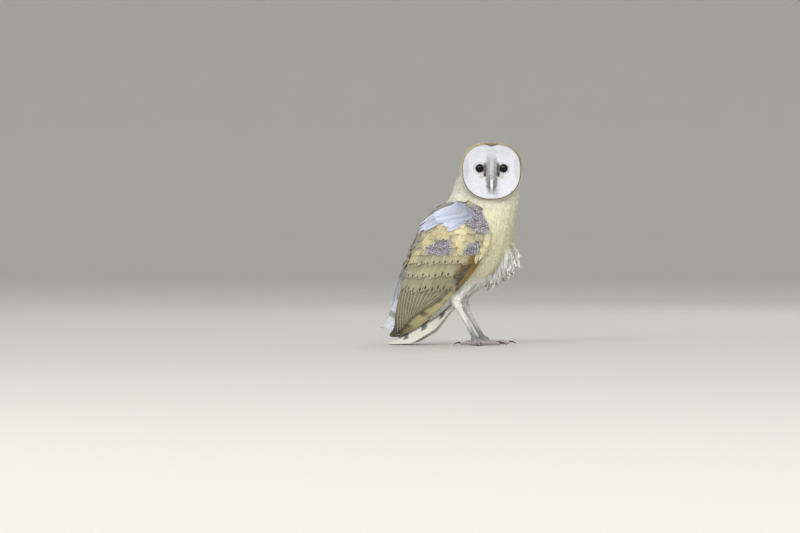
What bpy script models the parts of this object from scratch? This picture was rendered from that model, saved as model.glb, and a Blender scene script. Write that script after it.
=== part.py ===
"""A life-size North American barn owl, standing, with its head turned to its right.

The bird faces +X, its left side is +Y and up is +Z.  Lengths are in millimetres
in the tables and are turned to metres where a mesh is made.  Each body part is a
loft of rounded sections; the body is modelled whole and parted by thin cuts.
The last step moves the model so that the origin is under its middle, on the floor.
"""

import math

import bmesh
import bpy
from mathutils import Matrix, Vector

MM = 0.001
GAP = 0.35              # clearance left between neighbouring parts
WING_GAP = 0.7          # clearance round the thin edges of the wings
CUT = 0.4               # width of the thin cuts that part the body

# Body: dorsal point x, z, ventral point x, z, and half width, tail end first.
BODY = (
    (-92, 43, -70, 33, 12),
    (-83, 76, -42, 57, 23),
    (-86, 116, -18, 72, 37),
    (-87, 150, 8, 87, 46),
    (-82, 180, 31, 103, 51),
    (-70, 202, 48, 127, 53),
    (-57, 217, 57, 160, 52),
    (-46, 230, 62, 192, 46),
    (-38, 245, 66, 219, 35),
    (-32, 260, 66, 240, 29),
    (-8, 278, 48, 262, 22),
)
BODY_ROUNDNESS = 2.15   # exponent of the sections: 2 is an ellipse
BODY_SIDES = 22
BODY_STEPS = 2          # rings from one row of BODY to the next

# The cuts that part head, neck and trunk: a point of the plane, and its upward side.
HEAD_CUT = (Vector((22, 0, 220.5)), Vector((0.12, 0, 1)))
NECK_CUT = (Vector((6, 0, 192)), Vector((0.42, 0, 1)))

# Head: level, and turned to look past the right shoulder.
HEAD_TURN = math.radians(77)      # from the body's heading towards the right side
HEAD_CENTRE = Vector((22, -6, 270))
HEAD_HALF_WIDTH = 48
HEAD_UP = 46
HEAD_DOWN = 48
HEAD_FRONT = 36         # from the head's centre to the rim of the facial disc
HEAD_DEPTH = 80         # from that rim to the back of the head
RIM_SCALE = 0.955       # the disc's rim against the widest section of the head
WIDEST = 16             # how far behind the rim the head is widest
TOP_SQUARENESS = 2.5    # exponent of the outline above the head's centre
CHIN_SQUARENESS = 2.25  # and below it
FACE_RINGS = (0.1, 0.25, 0.42, 0.6, 0.8, 1.0)      # as shares of the way out to the rim
SKULL_RINGS = (5, WIDEST, 30, 45, 58, 69, 76, 79.2)     # as distances behind the rim
HEAD_SIDES = 28
DISH_DEPTH = 6
DISH_CURVE = 2.4        # exponent: the higher, the flatter the dish and the steeper its edge
RIDGE_HEIGHT = 9        # of the feathered ridge from the brow down to the bill
RIDGE_WIDTH = 8.5
RIDGE_LENGTH = 22
RIDGE_UP = -12          # of its highest point, from the head's centre

EYE_ACROSS = 18.6       # from the midline to the eye's centre
EYE_UP = 3.2
EYE_RADIUS = 8.2
EYE_FRONT = 2.6         # how far the eyeball stands out of the dish around it
# Bill, from its root to its tip: up, forward of the rim, half width, half depth.
BILL_UPPER = (
    (-12, -3.0, 4.4, 3.6),
    (-18, 4.5, 4.4, 4.4),
    (-24, 9.0, 3.7, 4.0),
    (-29, 9.2, 2.8, 3.2),
    (-33, 7.8, 1.6, 1.8),
    (-35, 6.6, 0.7, 0.7),
)
BILL_LOWER = (
    (-21, -4.0, 3.8, 2.4),
    (-26, 0.8, 3.4, 2.4),
    (-30, 3.2, 2.4, 2.0),
    (-33, 4.2, 1.2, 1.0),
)

# Folded wing: dorsal edge x, z, ventral edge x, z, half width of the body there,
# and the wing's thickness, from the shoulder to the tip of the flight feathers.
WING = (
    (-28, 222, -8, 219, 47, 3.0),
    (-54, 215, 14, 207, 55, 7.0),
    (-75, 198, 25, 187, 60, 9.0),
    (-90, 180, 29, 167, 62, 10.0),
    (-96, 161, 23, 145, 61, 10.0),
    (-102, 143, 8, 124, 57, 9.0),
    (-108, 126, -6, 106, 51, 7.5),
    (-114, 109, -20, 91, 45, 6.0),
    (-120, 92, -30, 78, 39, 5.0),
    (-126, 74, -46, 63, 34, 4.2),
    (-131, 56, -64, 47, 29, 3.4),
    (-135, 39, -83, 31, 24, 2.8),
    (-138, 24, -105, 18, 19, 2.2),
    (-140, 13, -122, 10, 15, 1.8),
)
WING_PARTS_AT = 7       # row of WING where the covert part ends and the flight feathers begin
WING_FROM = math.radians(9)       # dorsal edge, as an angle from the midline of the back
WING_TO = math.radians(130)       # ventral edge, on the flank
WING_SPAN = 12          # faces from one edge to the other
WING_EDGE = 0.5         # half the thickness left along the wing's edges
WING_FULLNESS = 0.55    # exponent: the lower, the blunter those edges
FEATHER_STEP = 0.7      # relief of the overlapping flight feathers
FLIGHT_FEATHERS = 9     # that show side by side across the folded wing
LEFT_WING_LIFT = math.radians(5.5)    # the left wing is carried higher than the right
LEFT_WING_PIVOT = Vector((-6, 0, 205))

# Tail: centre line x, z, half width and thickness, from the root to the tip.
TAIL = (
    (-38, 67, 13, 7.0),
    (-56, 55, 17, 5.5),
    (-76, 41, 22, 4.0),
    (-96, 27.5, 26, 3.2),
    (-114, 16, 29, 2.6),
    (-128, 7.5, 31, 2.2),
    (-142, 1.4, 31, 2.0),
)
TAIL_SPAN = 8
TAIL_ARCH = 28          # the outer feathers hang this much lower than the middle ones
TAIL_LYING = 1.4        # height of its middle where it lies on the floor
TAIL_REST = 16          # length of the flat under the tip that rests on the floor
TAIL_ROUNDING = 7       # how much shorter the outer feathers are
TAIL_EDGE = 0.45        # thickness of its side edges, as a share of the middle's
TAIL_UPWARD = Vector((0.3, 0, 1))     # across its thickness

# Legs, for one side: centre x, y, z and half widths along x and y.
THIGH = (
    (-2, 21, 112, 20, 12),
    (-10, 21.5, 98, 18, 12),
    (-18, 21.4, 86, 14, 9.8),
    (-25, 22.2, 76, 11, 8.4),
    (-29, 23.8, 68, 9, 7.8),
)
SHANK = (
    (-29.2, 23.8, 67, 8.6, 7.6),
    (-24, 25, 56, 7.4, 6.8),
    (-17, 26, 43, 5.8, 5.6),
    (-9, 26.8, 29, 5.0, 5.0),
    (-2, 27.6, 17, 5.6, 5.6),
    (1.5, 28, 12.6, 6.4, 6.4),
)
LEG_SIDES = 12
FOOT = Vector((3.5, 28, 0))       # middle of the foot's pad, on the floor
PAD_RADIUS = 10
# The pad's height and its share of that radius, from the sole up.
PAD = ((0, 0.78), (1.5, 0.97), (5, 1), (9, 0.86), (12, 0.7))
PAD_SIDES = 14
TOE_START = 8.8         # from the middle of the pad, inside it
# Toes: name, heading outwards from straight ahead in degrees, length, thickness.
TOES = (
    ("toe_inner", -34, 25, 3.6),
    ("toe_middle", 12, 31, 3.8),
    ("toe_outer", 68, 27, 3.6),
    ("toe_hind", 166, 16, 3.5),
)
CLAW_LENGTH = 15
CLAW_THICKNESS = 2.1
CLAW_BURIED = 2.5       # how far its root lies inside the toe's end
CLAW_UP = 0.9           # height of its root, as a share of the toe's thickness
CLAW_RISE = math.radians(32)      # slope of the claw where it leaves the toe
CLAW_BEND = math.radians(84)      # how far it turns down by its tip
CLAW_TAPER = 0.84       # how much thinner its tip is than its root
CLAW_FLATNESS = 0.8     # its width against its depth
CLAW_RINGS = 6
TOE_FLAT = 0.82         # share of a toe's half thickness between its axis and its flat sole
TOE_TAPER = 0.22        # how much thinner it is at the claw
TOE_SWELL = 0.10        # of the joints
TOE_JOINTS = 3
TOE_ARCH = 1.6          # rise of the toe's middle off the floor
TOE_RINGS = 8

# Loose feathers that hang off the lower breast: root x, z, tip x, z, and y.
TUFTS = (
    (57, 166, 66, 133, 5),
    (56, 158, 61, 122, -9),
    (52, 148, 52, 108, -2),
    (46, 134, 41, 99, 8),
    (41, 124, 31, 91, -8),
    (31, 112, 18, 83, 3),
)
TUFT_WIDTH = 8
TUFT_THICKNESS = 5.5
# Share of the way from its root to its tip, and share of its width there.
TUFT_PROFILE = ((0, 0.75), (0.3, 1), (0.6, 0.8), (0.85, 0.42), (1, 0.08))
TUFT_SIDES = 8
TUFT_SUNK = 6           # how far its root is moved back into the breast
TUFT_SPREAD = 1.3       # how much further from the midline its tip lies than its root

COLOURS = {
    "plumage_buff": ((0.72, 0.62, 0.40), 0.85),
    "plumage_white": ((0.86, 0.84, 0.80), 0.85),
    "plumage_golden": ((0.52, 0.40, 0.22), 0.80),
    "flight_feather": ((0.42, 0.35, 0.24), 0.75),
    "tail_feather": ((0.78, 0.75, 0.68), 0.80),
    "toe_skin": ((0.55, 0.50, 0.46), 0.70),
    "claw_horn": ((0.05, 0.04, 0.04), 0.35),
    "bill_horn": ((0.80, 0.74, 0.66), 0.40),
    "eye_dark": ((0.01, 0.008, 0.012), 0.05),
}


# ---------------------------------------------------------------- mesh helpers


def clear_scene():
    for obj in list(bpy.data.objects):
        bpy.data.objects.remove(obj)


def material(name):
    found = bpy.data.materials.get(name)
    if found:
        return found
    made = bpy.data.materials.new(name)
    made.use_nodes = True
    shader = made.node_tree.nodes["Principled BSDF"]
    colour, roughness = COLOURS[name]
    shader.inputs["Base Color"].default_value = (*colour, 1)
    shader.inputs["Roughness"].default_value = roughness
    shader.inputs["Metallic"].default_value = 0
    return made


def new_object(name, mesh, finish=None):
    obj = bpy.data.objects.new(name, mesh)
    bpy.context.scene.collection.objects.link(obj)
    if finish:
        mesh.materials.clear()
        mesh.materials.append(material(finish))
    return obj


def mesh_from(bm, name):
    """A mesh in metres, outward facing and smooth, from a bmesh in millimetres.

    It is triangles from the start, so that a swollen copy bends at the same edges.
    """
    bmesh.ops.triangulate(bm, faces=bm.faces)
    bmesh.ops.recalc_face_normals(bm, faces=bm.faces)
    bmesh.ops.scale(bm, vec=(MM, MM, MM), verts=bm.verts)
    mesh = bpy.data.meshes.new(name)
    bm.to_mesh(mesh)
    bm.free()
    mesh.shade_smooth()
    return mesh


def loft(name, rings, finish=None, plate=False):
    """Skins closed rings of points, one after another, and caps both ends.

    A plate's ring runs along one face and back along the other, so that its caps
    are strips between the two and not fans round a middle point.
    """
    bm = bmesh.new()
    rows = [[bm.verts.new(point) for point in ring] for ring in rings]
    count = len(rows[0])
    for low, high in zip(rows, rows[1:]):
        for i in range(count):
            j = (i + 1) % count
            bm.faces.new((low[i], low[j], high[j], high[i]))
    for row in (rows[0], rows[-1]):
        if plate:
            for i in range(count // 2 - 1):
                bm.faces.new((row[i], row[i + 1], row[count - 2 - i], row[count - 1 - i]))
        else:
            middle = bm.verts.new(sum((v.co for v in row), Vector()) / count)
            for i in range(count):
                bm.faces.new((row[i], row[(i + 1) % count], middle))
    return new_object(name, mesh_from(bm, name), finish)


def evaluated_mesh(obj):
    graph = bpy.context.evaluated_depsgraph_get()
    return bpy.data.meshes.new_from_object(obj.evaluated_get(graph))


def combine(obj, other, operation):
    """Applies one Boolean of obj with other."""
    modifier = obj.modifiers.new(operation, "BOOLEAN")
    modifier.operation = operation
    modifier.object = other
    modifier.solver = "EXACT"
    mesh = evaluated_mesh(obj)
    obj.modifiers.clear()
    obj.data = mesh


def swollen(obj, by):
    """A copy of obj pushed outwards along its normals, to cut a clearance."""
    copy = new_object(obj.name + "_room", obj.data.copy())
    for vertex in copy.data.vertices:
        vertex.co += vertex.normal * by * MM
    return copy


def make_room(obj, *others, by=GAP):
    """Cuts each of others, with clearance, out of obj."""
    for other in others:
        cutter = swollen(other, by)
        combine(obj, cutter, "DIFFERENCE")
        bpy.data.objects.remove(cutter)


def keep_side(mesh, point, normal):
    """Keeps what lies on the normal's side of a plane, and closes the cut."""
    bm = bmesh.new()
    bm.from_mesh(mesh)
    geometry = bm.verts[:] + bm.edges[:] + bm.faces[:]
    cut = bmesh.ops.bisect_plane(
        bm, geom=geometry, dist=1e-7, plane_co=point, plane_no=normal,
        clear_inner=True)
    edges = [e for e in cut["geom_cut"] if isinstance(e, bmesh.types.BMEdge)]
    edges = [e for e in edges if e.is_valid and e.is_boundary]
    bmesh.ops.triangle_fill(bm, use_beauty=True, edges=edges)
    bmesh.ops.recalc_face_normals(bm, faces=bm.faces)
    bm.to_mesh(mesh)
    bm.free()


def keep_largest(mesh):
    """Drops the crumbs that a cut can leave beside the edge of a wing."""
    bm = bmesh.new()
    bm.from_mesh(mesh)
    left = set(bm.verts)
    pieces = []
    while left:
        piece, todo = set(), [left.pop()]
        while todo:
            vertex = todo.pop()
            piece.add(vertex)
            near = {edge.other_vert(vertex) for edge in vertex.link_edges} & left
            left -= near
            todo += near
        pieces.append(piece)
    pieces.sort(key=len)
    for piece in pieces[:-1]:
        bmesh.ops.delete(bm, geom=list(piece), context="VERTS")
    bm.to_mesh(mesh)
    bm.free()


def slice_between(source, name, finish, low=None, high=None):
    """The slice of source above plane low and below plane high, each a (point, up) pair."""
    mesh = source.data.copy()
    mesh.name = name
    for plane, sign in ((low, 1), (high, -1)):
        if plane:
            point, up = plane
            normal = up.normalized() * sign
            keep_side(mesh, (point * MM) + normal * (CUT / 2 * MM), normal)
    keep_largest(mesh)
    mesh.shade_smooth()
    return new_object(name, mesh, finish)


def smooth_rows(rows, steps):
    """Rows of numbers with Catmull-Rom rows between them."""
    made = []
    for i in range(len(rows) - 1):
        before = rows[max(i - 1, 0)]
        start, end = rows[i], rows[i + 1]
        after = rows[min(i + 2, len(rows) - 1)]
        for k in range(steps):
            t = k / steps
            made.append(tuple(
                0.5 * (2 * b + (c - a) * t + (2 * a - 5 * b + 4 * c - d) * t * t
                       + (3 * b - a - 3 * c + d) * t ** 3)
                for a, b, c, d in zip(before, start, end, after)))
    made.append(tuple(rows[-1]))
    return made


def superellipse(angle, across, up, exponent):
    c, s = math.cos(angle), math.sin(angle)
    return (across * math.copysign(abs(c) ** (2 / exponent), c),
            up * math.copysign(abs(s) ** (2 / exponent), s))


# ------------------------------------------------------------------- the body


def body_ring(row):
    """A section through a dorsal and a ventral point, as wide as the row says."""
    back = Vector((row[0], 0, row[1]))
    belly = Vector((row[2], 0, row[3]))
    centre = (back + belly) / 2
    down = belly - centre
    ring = []
    for i in range(BODY_SIDES):
        along, side = superellipse(
            2 * math.pi * i / BODY_SIDES, 1, row[4], BODY_ROUNDNESS)
        ring.append(centre + down * along + Vector((0, side, 0)))
    return ring


def body_form():
    rings = [body_ring(row) for row in smooth_rows(BODY, BODY_STEPS)]
    return loft("body_form", rings)


def tuft(root, tip):
    """One loose, pointed breast feather lock."""
    axis = tip - root
    across = Vector((0, 1, 0))
    out = across.cross(axis).normalized()
    rings = []
    for t, share in TUFT_PROFILE:
        ring = []
        for i in range(TUFT_SIDES):
            angle = 2 * math.pi * i / TUFT_SIDES
            a, b = superellipse(angle, TUFT_WIDTH * share, TUFT_THICKNESS * share, 2)
            ring.append(root + axis * t + across * a + out * b)
        rings.append(ring)
    return loft("tuft_form", rings)


# ------------------------------------------------------------------- the head


def head_axes():
    """The head's own left-to-right, up and forward directions."""
    facing = Vector((math.cos(HEAD_TURN), -math.sin(HEAD_TURN), 0))
    up = Vector((0, 0, 1))
    return facing.cross(up) * -1, up, facing


def on_head(across, up, forward):
    """A point given across the face, up and forward of the head's centre."""
    right, above, facing = head_axes()
    return HEAD_CENTRE + right * across + above * up + facing * forward


def head_outline(angle):
    """The head seen from in front: squarish above, rounder below."""
    if math.sin(angle) >= 0:
        return superellipse(angle, HEAD_HALF_WIDTH, HEAD_UP, TOP_SQUARENESS)
    return superellipse(angle, HEAD_HALF_WIDTH, HEAD_DOWN, CHIN_SQUARENESS)


def face_relief(across, up, share):
    """How far the facial disc stands in front of its rim: a dish with a central ridge."""
    dish = -DISH_DEPTH * (1 - share ** DISH_CURVE)
    along = math.exp(-((up - RIDGE_UP) / RIDGE_LENGTH) ** 2)
    ridge = RIDGE_HEIGHT * along * math.exp(-(across / RIDGE_WIDTH) ** 2)
    return dish + ridge * (1 - share ** 3)


def head_form():
    rings = []
    angles = [2 * math.pi * i / HEAD_SIDES for i in range(HEAD_SIDES)]
    for share in FACE_RINGS:
        ring = []
        for angle in angles:
            across, up = head_outline(angle)
            across, up = across * RIM_SCALE * share, up * RIM_SCALE * share
            relief = face_relief(across, up, share)
            ring.append(on_head(across, up, HEAD_FRONT + relief))
        rings.append(ring)
    for back in SKULL_RINGS:
        if back < WIDEST:
            scale = RIM_SCALE + (1 - RIM_SCALE) * math.sin(back / WIDEST * math.pi / 2)
        else:
            scale = math.sqrt(1 - ((back - WIDEST) / (HEAD_DEPTH - WIDEST)) ** 2)
        ring = []
        for angle in angles:
            across, up = head_outline(angle)
            ring.append(on_head(across * scale, up * scale, HEAD_FRONT - back))
        rings.append(ring)
    return loft("head_form", rings)


def eye(name, side):
    """An eyeball set in the dish, side -1 for the bird's right eye."""
    dish = face_relief(side * EYE_ACROSS, EYE_UP, EYE_ACROSS / HEAD_HALF_WIDTH)
    centre = on_head(
        side * EYE_ACROSS, EYE_UP, HEAD_FRONT + dish + EYE_FRONT - EYE_RADIUS)
    bm = bmesh.new()
    bmesh.ops.create_uvsphere(bm, u_segments=14, v_segments=8, radius=EYE_RADIUS)
    facing = head_axes()[2]
    turn = facing.to_track_quat("Z", "Y").to_matrix().to_4x4()
    bmesh.ops.transform(bm, matrix=Matrix.Translation(centre) @ turn, verts=bm.verts)
    return new_object(name, mesh_from(bm, name), "eye_dark")


def bill_part(name, path):
    """A tapered horn along rows of up, forward, half width and half depth."""
    rings = []
    for up, forward, width, depth in path:
        ring = []
        for i in range(10):
            a, b = superellipse(2 * math.pi * i / 10, width, depth, 2.2)
            ring.append(on_head(a, up, HEAD_FRONT + forward + b))
        rings.append(ring)
    return loft(name, rings, "bill_horn")


# ------------------------------------------------------------------- the wings


def wing_lift(side):
    """The left wing is turned up about the shoulder; the right one isn't."""
    if side < 0:
        return Matrix.Identity(4)
    turn = Matrix.Rotation(LEFT_WING_LIFT, 4, "Y")
    place = Matrix.Translation(LEFT_WING_PIVOT)
    return place @ turn @ place.inverted()


def wing_ring(row, side, tips):
    """One section across the folded wing: its outer face, then its inner face."""
    back = Vector((row[0], 0, row[1]))
    front = Vector((row[2], 0, row[3]))
    width, thick = row[4], row[5]
    reach = 1 - math.cos(WING_TO)
    depth = (front - back).length / reach
    along = (front - back).normalized()
    centre = back + along * depth
    outer, inner = [], []
    for i in range(WING_SPAN + 1):
        share = i / WING_SPAN
        angle = WING_FROM + (WING_TO - WING_FROM) * share
        step = tips * FEATHER_STEP * ((share * FLIGHT_FEATHERS) % 1.0 - 0.5)
        middle = math.sin(math.pi * share) ** WING_FULLNESS
        half = WING_EDGE + (thick - WING_EDGE) * middle
        out = Vector((0, side * math.sin(angle), 0)) * width
        surface = centre - along * (depth * math.cos(angle)) + out
        normal = (Vector((0, side * math.sin(angle) / width, 0))
                  - along * (math.cos(angle) / depth)).normalized()
        outer.append(surface + normal * step * middle)
        inner.append(surface - normal * half)
    return outer + inner[::-1]


def wing(name, side, rows, finish, tips=0.0):
    lift = wing_lift(side)
    rings = [
        [lift @ point for point in wing_ring(row, side, tips)]
        for row in rows
    ]
    return loft(name, rings, finish, plate=True)


def parted_wing(side, word):
    """The covert part and the flight feathers of one wing, a thin cut apart."""
    covert_rows = list(WING[:WING_PARTS_AT + 1])
    flight_rows = list(WING[WING_PARTS_AT:])
    start, after = flight_rows[0], flight_rows[1]
    length = math.hypot(after[0] - start[0], after[1] - start[1])
    share = CUT / length
    flight_rows[0] = tuple(a + (b - a) * share for a, b in zip(start, after))
    coverts = wing("wing_" + word, side, covert_rows, "plumage_golden")
    flight = wing("flight_feathers_" + word, side, flight_rows, "flight_feather", 1.0)
    return coverts, flight


# -------------------------------------------------------------------- the tail


def tail_ring(row, share):
    x, z, half_width, thick = row
    top, under = [], []
    slope = TAIL_ROUNDING * share ** 3
    for i in range(TAIL_SPAN + 1):
        across = 2 * i / TAIL_SPAN - 1
        drop = TAIL_ARCH * across ** 2 * (1 - share ** 3)
        height = max(z - drop, TAIL_LYING)
        point = Vector((x + slope * across ** 2, across * half_width, height))
        half = thick / 2 * (TAIL_EDGE + (1 - TAIL_EDGE) * (1 - across ** 2) ** 0.5)
        top.append(point + TAIL_UPWARD * half)
        low = point - TAIL_UPWARD * half
        if x < TAIL[-1][0] + TAIL_REST:
            low.z = 0
        under.append(Vector((low.x, low.y, max(low.z, 0))))
    return top + under[::-1]


def tail():
    rows = smooth_rows(TAIL, 2)
    rings = [tail_ring(row, i / (len(rows) - 1)) for i, row in enumerate(rows)]
    return loft("tail", rings, "tail_feather", plate=True)


# -------------------------------------------------------------------- the legs


def leg_part(name, rows, side, finish):
    rings = []
    for x, y, z, half_x, half_y in rows:
        ring = []
        for i in range(LEG_SIDES):
            a, b = superellipse(2 * math.pi * i / LEG_SIDES, half_x, half_y, 2)
            ring.append(Vector((x + a, side * y + b, z)))
        rings.append(ring)
    return loft(name, rings, finish)


def pad(name, side):
    """The fleshy middle of the foot, flat below."""
    rings = []
    for height, share in PAD:
        ring = []
        for i in range(PAD_SIDES):
            radius = PAD_RADIUS * share
            a, b = superellipse(2 * math.pi * i / PAD_SIDES, radius, radius, 2)
            ring.append(Vector((FOOT.x + a, side * FOOT.y + b, height)))
        rings.append(ring)
    return loft(name, rings, "toe_skin")


def toe_direction(side, heading):
    angle = side * math.radians(heading)
    return Vector((math.cos(angle), math.sin(angle), 0))


def toe(name, side, heading, length, thick):
    """A toe from the pad outwards: joints swell it, and its sole is flat."""
    ahead = toe_direction(side, heading)
    across = Vector((-ahead.y, ahead.x, 0))
    start = Vector((FOOT.x, side * FOOT.y, 0))
    rings = []
    for k in range(TOE_RINGS):
        share = k / (TOE_RINGS - 1)
        swell = 1 + TOE_SWELL * math.cos(share * TOE_JOINTS * 2 * math.pi)
        half = thick * (1 - TOE_TAPER * share) * swell
        lift = half * TOE_FLAT + TOE_ARCH * math.sin(share * math.pi)
        centre = start + ahead * (TOE_START + length * share) + Vector((0, 0, lift))
        ring = []
        for i in range(8):
            a, b = superellipse(2 * math.pi * i / 8, half, half, 2.2)
            point = centre + across * a + Vector((0, 0, b))
            if share in (0.0, 1.0) or lift < half:
                point.z = max(point.z, 0)
            ring.append(point)
        rings.append(ring)
    return loft(name, rings, "toe_skin")


def claw(name, side, heading, length, thick):
    """A talon on an arc from the toe's end, its tip just above the floor."""
    ahead = toe_direction(side, heading)
    across = Vector((-ahead.y, ahead.x, 0))
    up = Vector((0, 0, 1))
    root = (Vector((FOOT.x, side * FOOT.y, 0))
            + ahead * (TOE_START + length - CLAW_BURIED) + up * thick * CLAW_UP)
    radius = CLAW_LENGTH / CLAW_BEND
    rings = []
    for k in range(CLAW_RINGS):
        share = k / (CLAW_RINGS - 1)
        slope = CLAW_RISE - CLAW_BEND * share
        out = radius * (math.sin(CLAW_RISE) - math.sin(slope))
        rise = radius * (math.cos(slope) - math.cos(CLAW_RISE))
        half = CLAW_THICKNESS * (1 - CLAW_TAPER * share ** 1.3)
        centre = root + ahead * out + up * rise
        above = up * math.cos(slope) - ahead * math.sin(slope)
        ring = []
        for i in range(6):
            a, b = superellipse(2 * math.pi * i / 6, half * CLAW_FLATNESS, half, 2)
            ring.append(centre + across * a + above * b)
        rings.append(ring)
    return loft(name, rings, "claw_horn")


# ------------------------------------------------------------------ assembling


def build_body():
    """Body and head in one, with the wings, tail and thighs let into it."""
    whole = body_form()
    head = head_form()
    combine(whole, head, "UNION")
    bpy.data.objects.remove(head)
    for root_x, root_z, tip_x, tip_z, y in TUFTS:
        root = Vector((root_x - TUFT_SUNK, y, root_z))
        lock = tuft(root, Vector((tip_x, y * TUFT_SPREAD, tip_z)))
        combine(whole, lock, "UNION")
        bpy.data.objects.remove(lock)
    return whole


def build():
    clear_scene()
    whole = build_body()
    wings = []
    for side, word in ((-1, "right"), (1, "left")):
        wings += parted_wing(side, word)
    tail_fan = tail()
    make_room(whole, *wings, by=WING_GAP)
    make_room(tail_fan, whole)

    eyes = [eye("eye_right", -1), eye("eye_left", 1)]
    upper = bill_part("bill_upper", BILL_UPPER)
    lower = bill_part("bill_lower", BILL_LOWER)
    make_room(lower, upper)
    make_room(whole, *eyes, upper, lower)

    for side, word in ((-1, "right"), (1, "left")):
        thigh = leg_part("thigh_" + word, THIGH, side, "plumage_white")
        make_room(thigh, whole)
        shank = leg_part("shank_" + word, SHANK, side, "plumage_white")
        make_room(shank, thigh)
        sole = pad("foot_" + word, side)
        make_room(sole, shank)
        for name, heading, length, thick in TOES:
            digit = toe(name + "_" + word, side, heading, length, thick)
            make_room(digit, sole)
            nail = claw(name.replace("toe", "claw") + "_" + word,
                        side, heading, length, thick)
            make_room(nail, digit)

    slice_between(whole, "head", "plumage_white", low=HEAD_CUT)
    slice_between(whole, "neck", "plumage_buff", low=NECK_CUT, high=HEAD_CUT)
    slice_between(whole, "trunk", "plumage_buff", high=NECK_CUT)
    bpy.data.objects.remove(whole)


def centre_model():
    """Moves every mesh so that the origin is under the middle of the model's box."""
    low = Vector((1e9,) * 3)
    high = Vector((-1e9,) * 3)
    for obj in bpy.context.scene.objects:
        for vertex in obj.data.vertices:
            low = Vector(map(min, low, vertex.co))
            high = Vector(map(max, high, vertex.co))
    shift = Matrix.Translation((-(low.x + high.x) / 2, -(low.y + high.y) / 2, -low.z))
    for obj in bpy.context.scene.objects:
        obj.data.transform(shift)


build()
centre_model()
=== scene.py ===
"""The looks of a life-size barn owl: one skin, its feathers, eyes, bill and claws.

Lengths in the tables are millimetres and are turned to metres by MM.  The bird's body
faces +X, its left is +Y, up is +Z.  Its head looks along FACING, past its right shoulder.
"""

import copy
import math

import bmesh
import bpy
import numpy as np
from mathutils import Matrix, Vector
from mathutils.bvhtree import BVHTree


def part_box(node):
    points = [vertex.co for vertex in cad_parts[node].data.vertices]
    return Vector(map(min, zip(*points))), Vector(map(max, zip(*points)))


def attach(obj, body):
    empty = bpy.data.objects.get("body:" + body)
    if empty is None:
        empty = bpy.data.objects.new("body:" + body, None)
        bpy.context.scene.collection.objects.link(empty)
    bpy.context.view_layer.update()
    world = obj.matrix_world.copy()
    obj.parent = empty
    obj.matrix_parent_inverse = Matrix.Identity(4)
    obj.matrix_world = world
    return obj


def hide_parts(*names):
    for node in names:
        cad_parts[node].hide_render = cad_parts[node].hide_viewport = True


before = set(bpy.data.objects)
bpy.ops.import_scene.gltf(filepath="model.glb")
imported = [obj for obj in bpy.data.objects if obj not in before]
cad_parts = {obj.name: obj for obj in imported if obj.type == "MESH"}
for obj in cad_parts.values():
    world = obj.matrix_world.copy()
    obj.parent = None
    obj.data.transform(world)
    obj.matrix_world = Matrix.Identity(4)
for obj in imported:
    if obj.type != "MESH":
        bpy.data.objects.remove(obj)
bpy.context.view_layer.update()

MM = 0.001
SIDES = ((-1, "right"), (1, "left"))
TOES = ("inner", "middle", "outer", "hind")
rng = np.random.default_rng(7)

# ---- landmarks ----


def middle(node):
    low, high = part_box(node)
    return (low + high) / 2


UP = Vector((0, 0, 1))
EYES = {side: middle("eye_" + word) for side, word in SIDES}
EYE_RADIUS = (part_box("eye_right")[1].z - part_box("eye_right")[0].z) / 2
ACROSS = (EYES[1] - EYES[-1]).normalized()      # over the face, to the bird's left
FACING = ACROSS.cross(UP)
EYE_UP = 3.2            # the eyes' height over the head's middle
EYE_ASIDE = (EYES[1] - EYES[-1]).length / 2 / MM
HEAD = (EYES[1] + EYES[-1]) / 2 - UP * (EYE_UP * MM)
RIM_AHEAD = 11.6        # from the head's middle forward to the facial disc's rim
FACE_WIDE = 44.8        # half width of the white disc, and its reach above and below HEAD
FACE_HIGH = 41.0
FACE_LOW = 44.4
SQUARE_ABOVE = 2.45     # how square the disc's outline is: 2 would be an ellipse
SQUARE_BELOW = 2.25
NOTCH_WIDE = 10.5       # the crown dips into the disc's top edge
NOTCH_DEEP = 3.2
FEET = (middle("foot_right") + middle("foot_left")) / 2

SKIN_NODES = ["trunk", "neck", "head", "wing_left", "wing_right"]
for _, word in SIDES:
    SKIN_NODES += ["thigh_" + word, "shank_" + word, "foot_" + word]
    SKIN_NODES += [f"toe_{toe}_{word}" for toe in TOES]

# How deep the skin lies under the solids' surface: the depth of the coat there.
DEPTH = {"trunk": 4.2, "neck": 4.0, "head": 3.4, "wing": 2.2, "thigh": 3.0, "shank": 1.3,
         "foot": 0.3, "toe": 0.2}
FACE_DEPTH = 1.3
SKIN_SWELL = 0.6        # the solids are grown by this so that the cuts between them close
SKIN_VOXEL = 1.5

# ---- colours ----


def colour(code):
    """Linear red, green and blue of an sRGB hex value."""
    parts = np.array([int(code[i:i + 2], 16) / 255 for i in (0, 2, 4)])
    return np.where(parts <= 0.04045, parts / 12.92, ((parts + 0.055) / 1.055) ** 2.4)


DISC_WHITE = colour("F7F8FF")
DISC_GREY = colour("E0E3EA")
BROW_OLIVE = colour("B9BBB6")
BROW_DARK = colour("84867B")
OLIVE_STAIN = colour("B3AE88")
TEAR_BROWN = colour("382E28")
CREASE_PAINTED_SHADE = colour("8B857E")
BILL_SHADE = colour("756A66")
RIM_GOLD = colour("B3A778")
RIM_BROWN = colour("82725B")
CROWN_GREY = colour("7E7862")
CROWN_BUFF = colour("C3AE78")
NAPE_CREAM = colour("ECEAD8")
NECK_CREAM = colour("ECE7C6")
BREAST_CREAM = colour("E5E0BC")
BELLY_WHITE = colour("F0F1EB")
LEG_WHITE = colour("F2F3EC")
LEG_GREY = colour("8E9194")
MANTLE_OLIVE = colour("94917D")
# grey scapulars painted with a pale blue sheen of reflected light
SCAPULAR_SHEEN_BLUE = colour("C3CBE2")
WING_YELLOW = colour("D3C79A")
WING_LIGHT = colour("EFE3B6")
VEIL_VIOLET = colour("8A8690")
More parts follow.
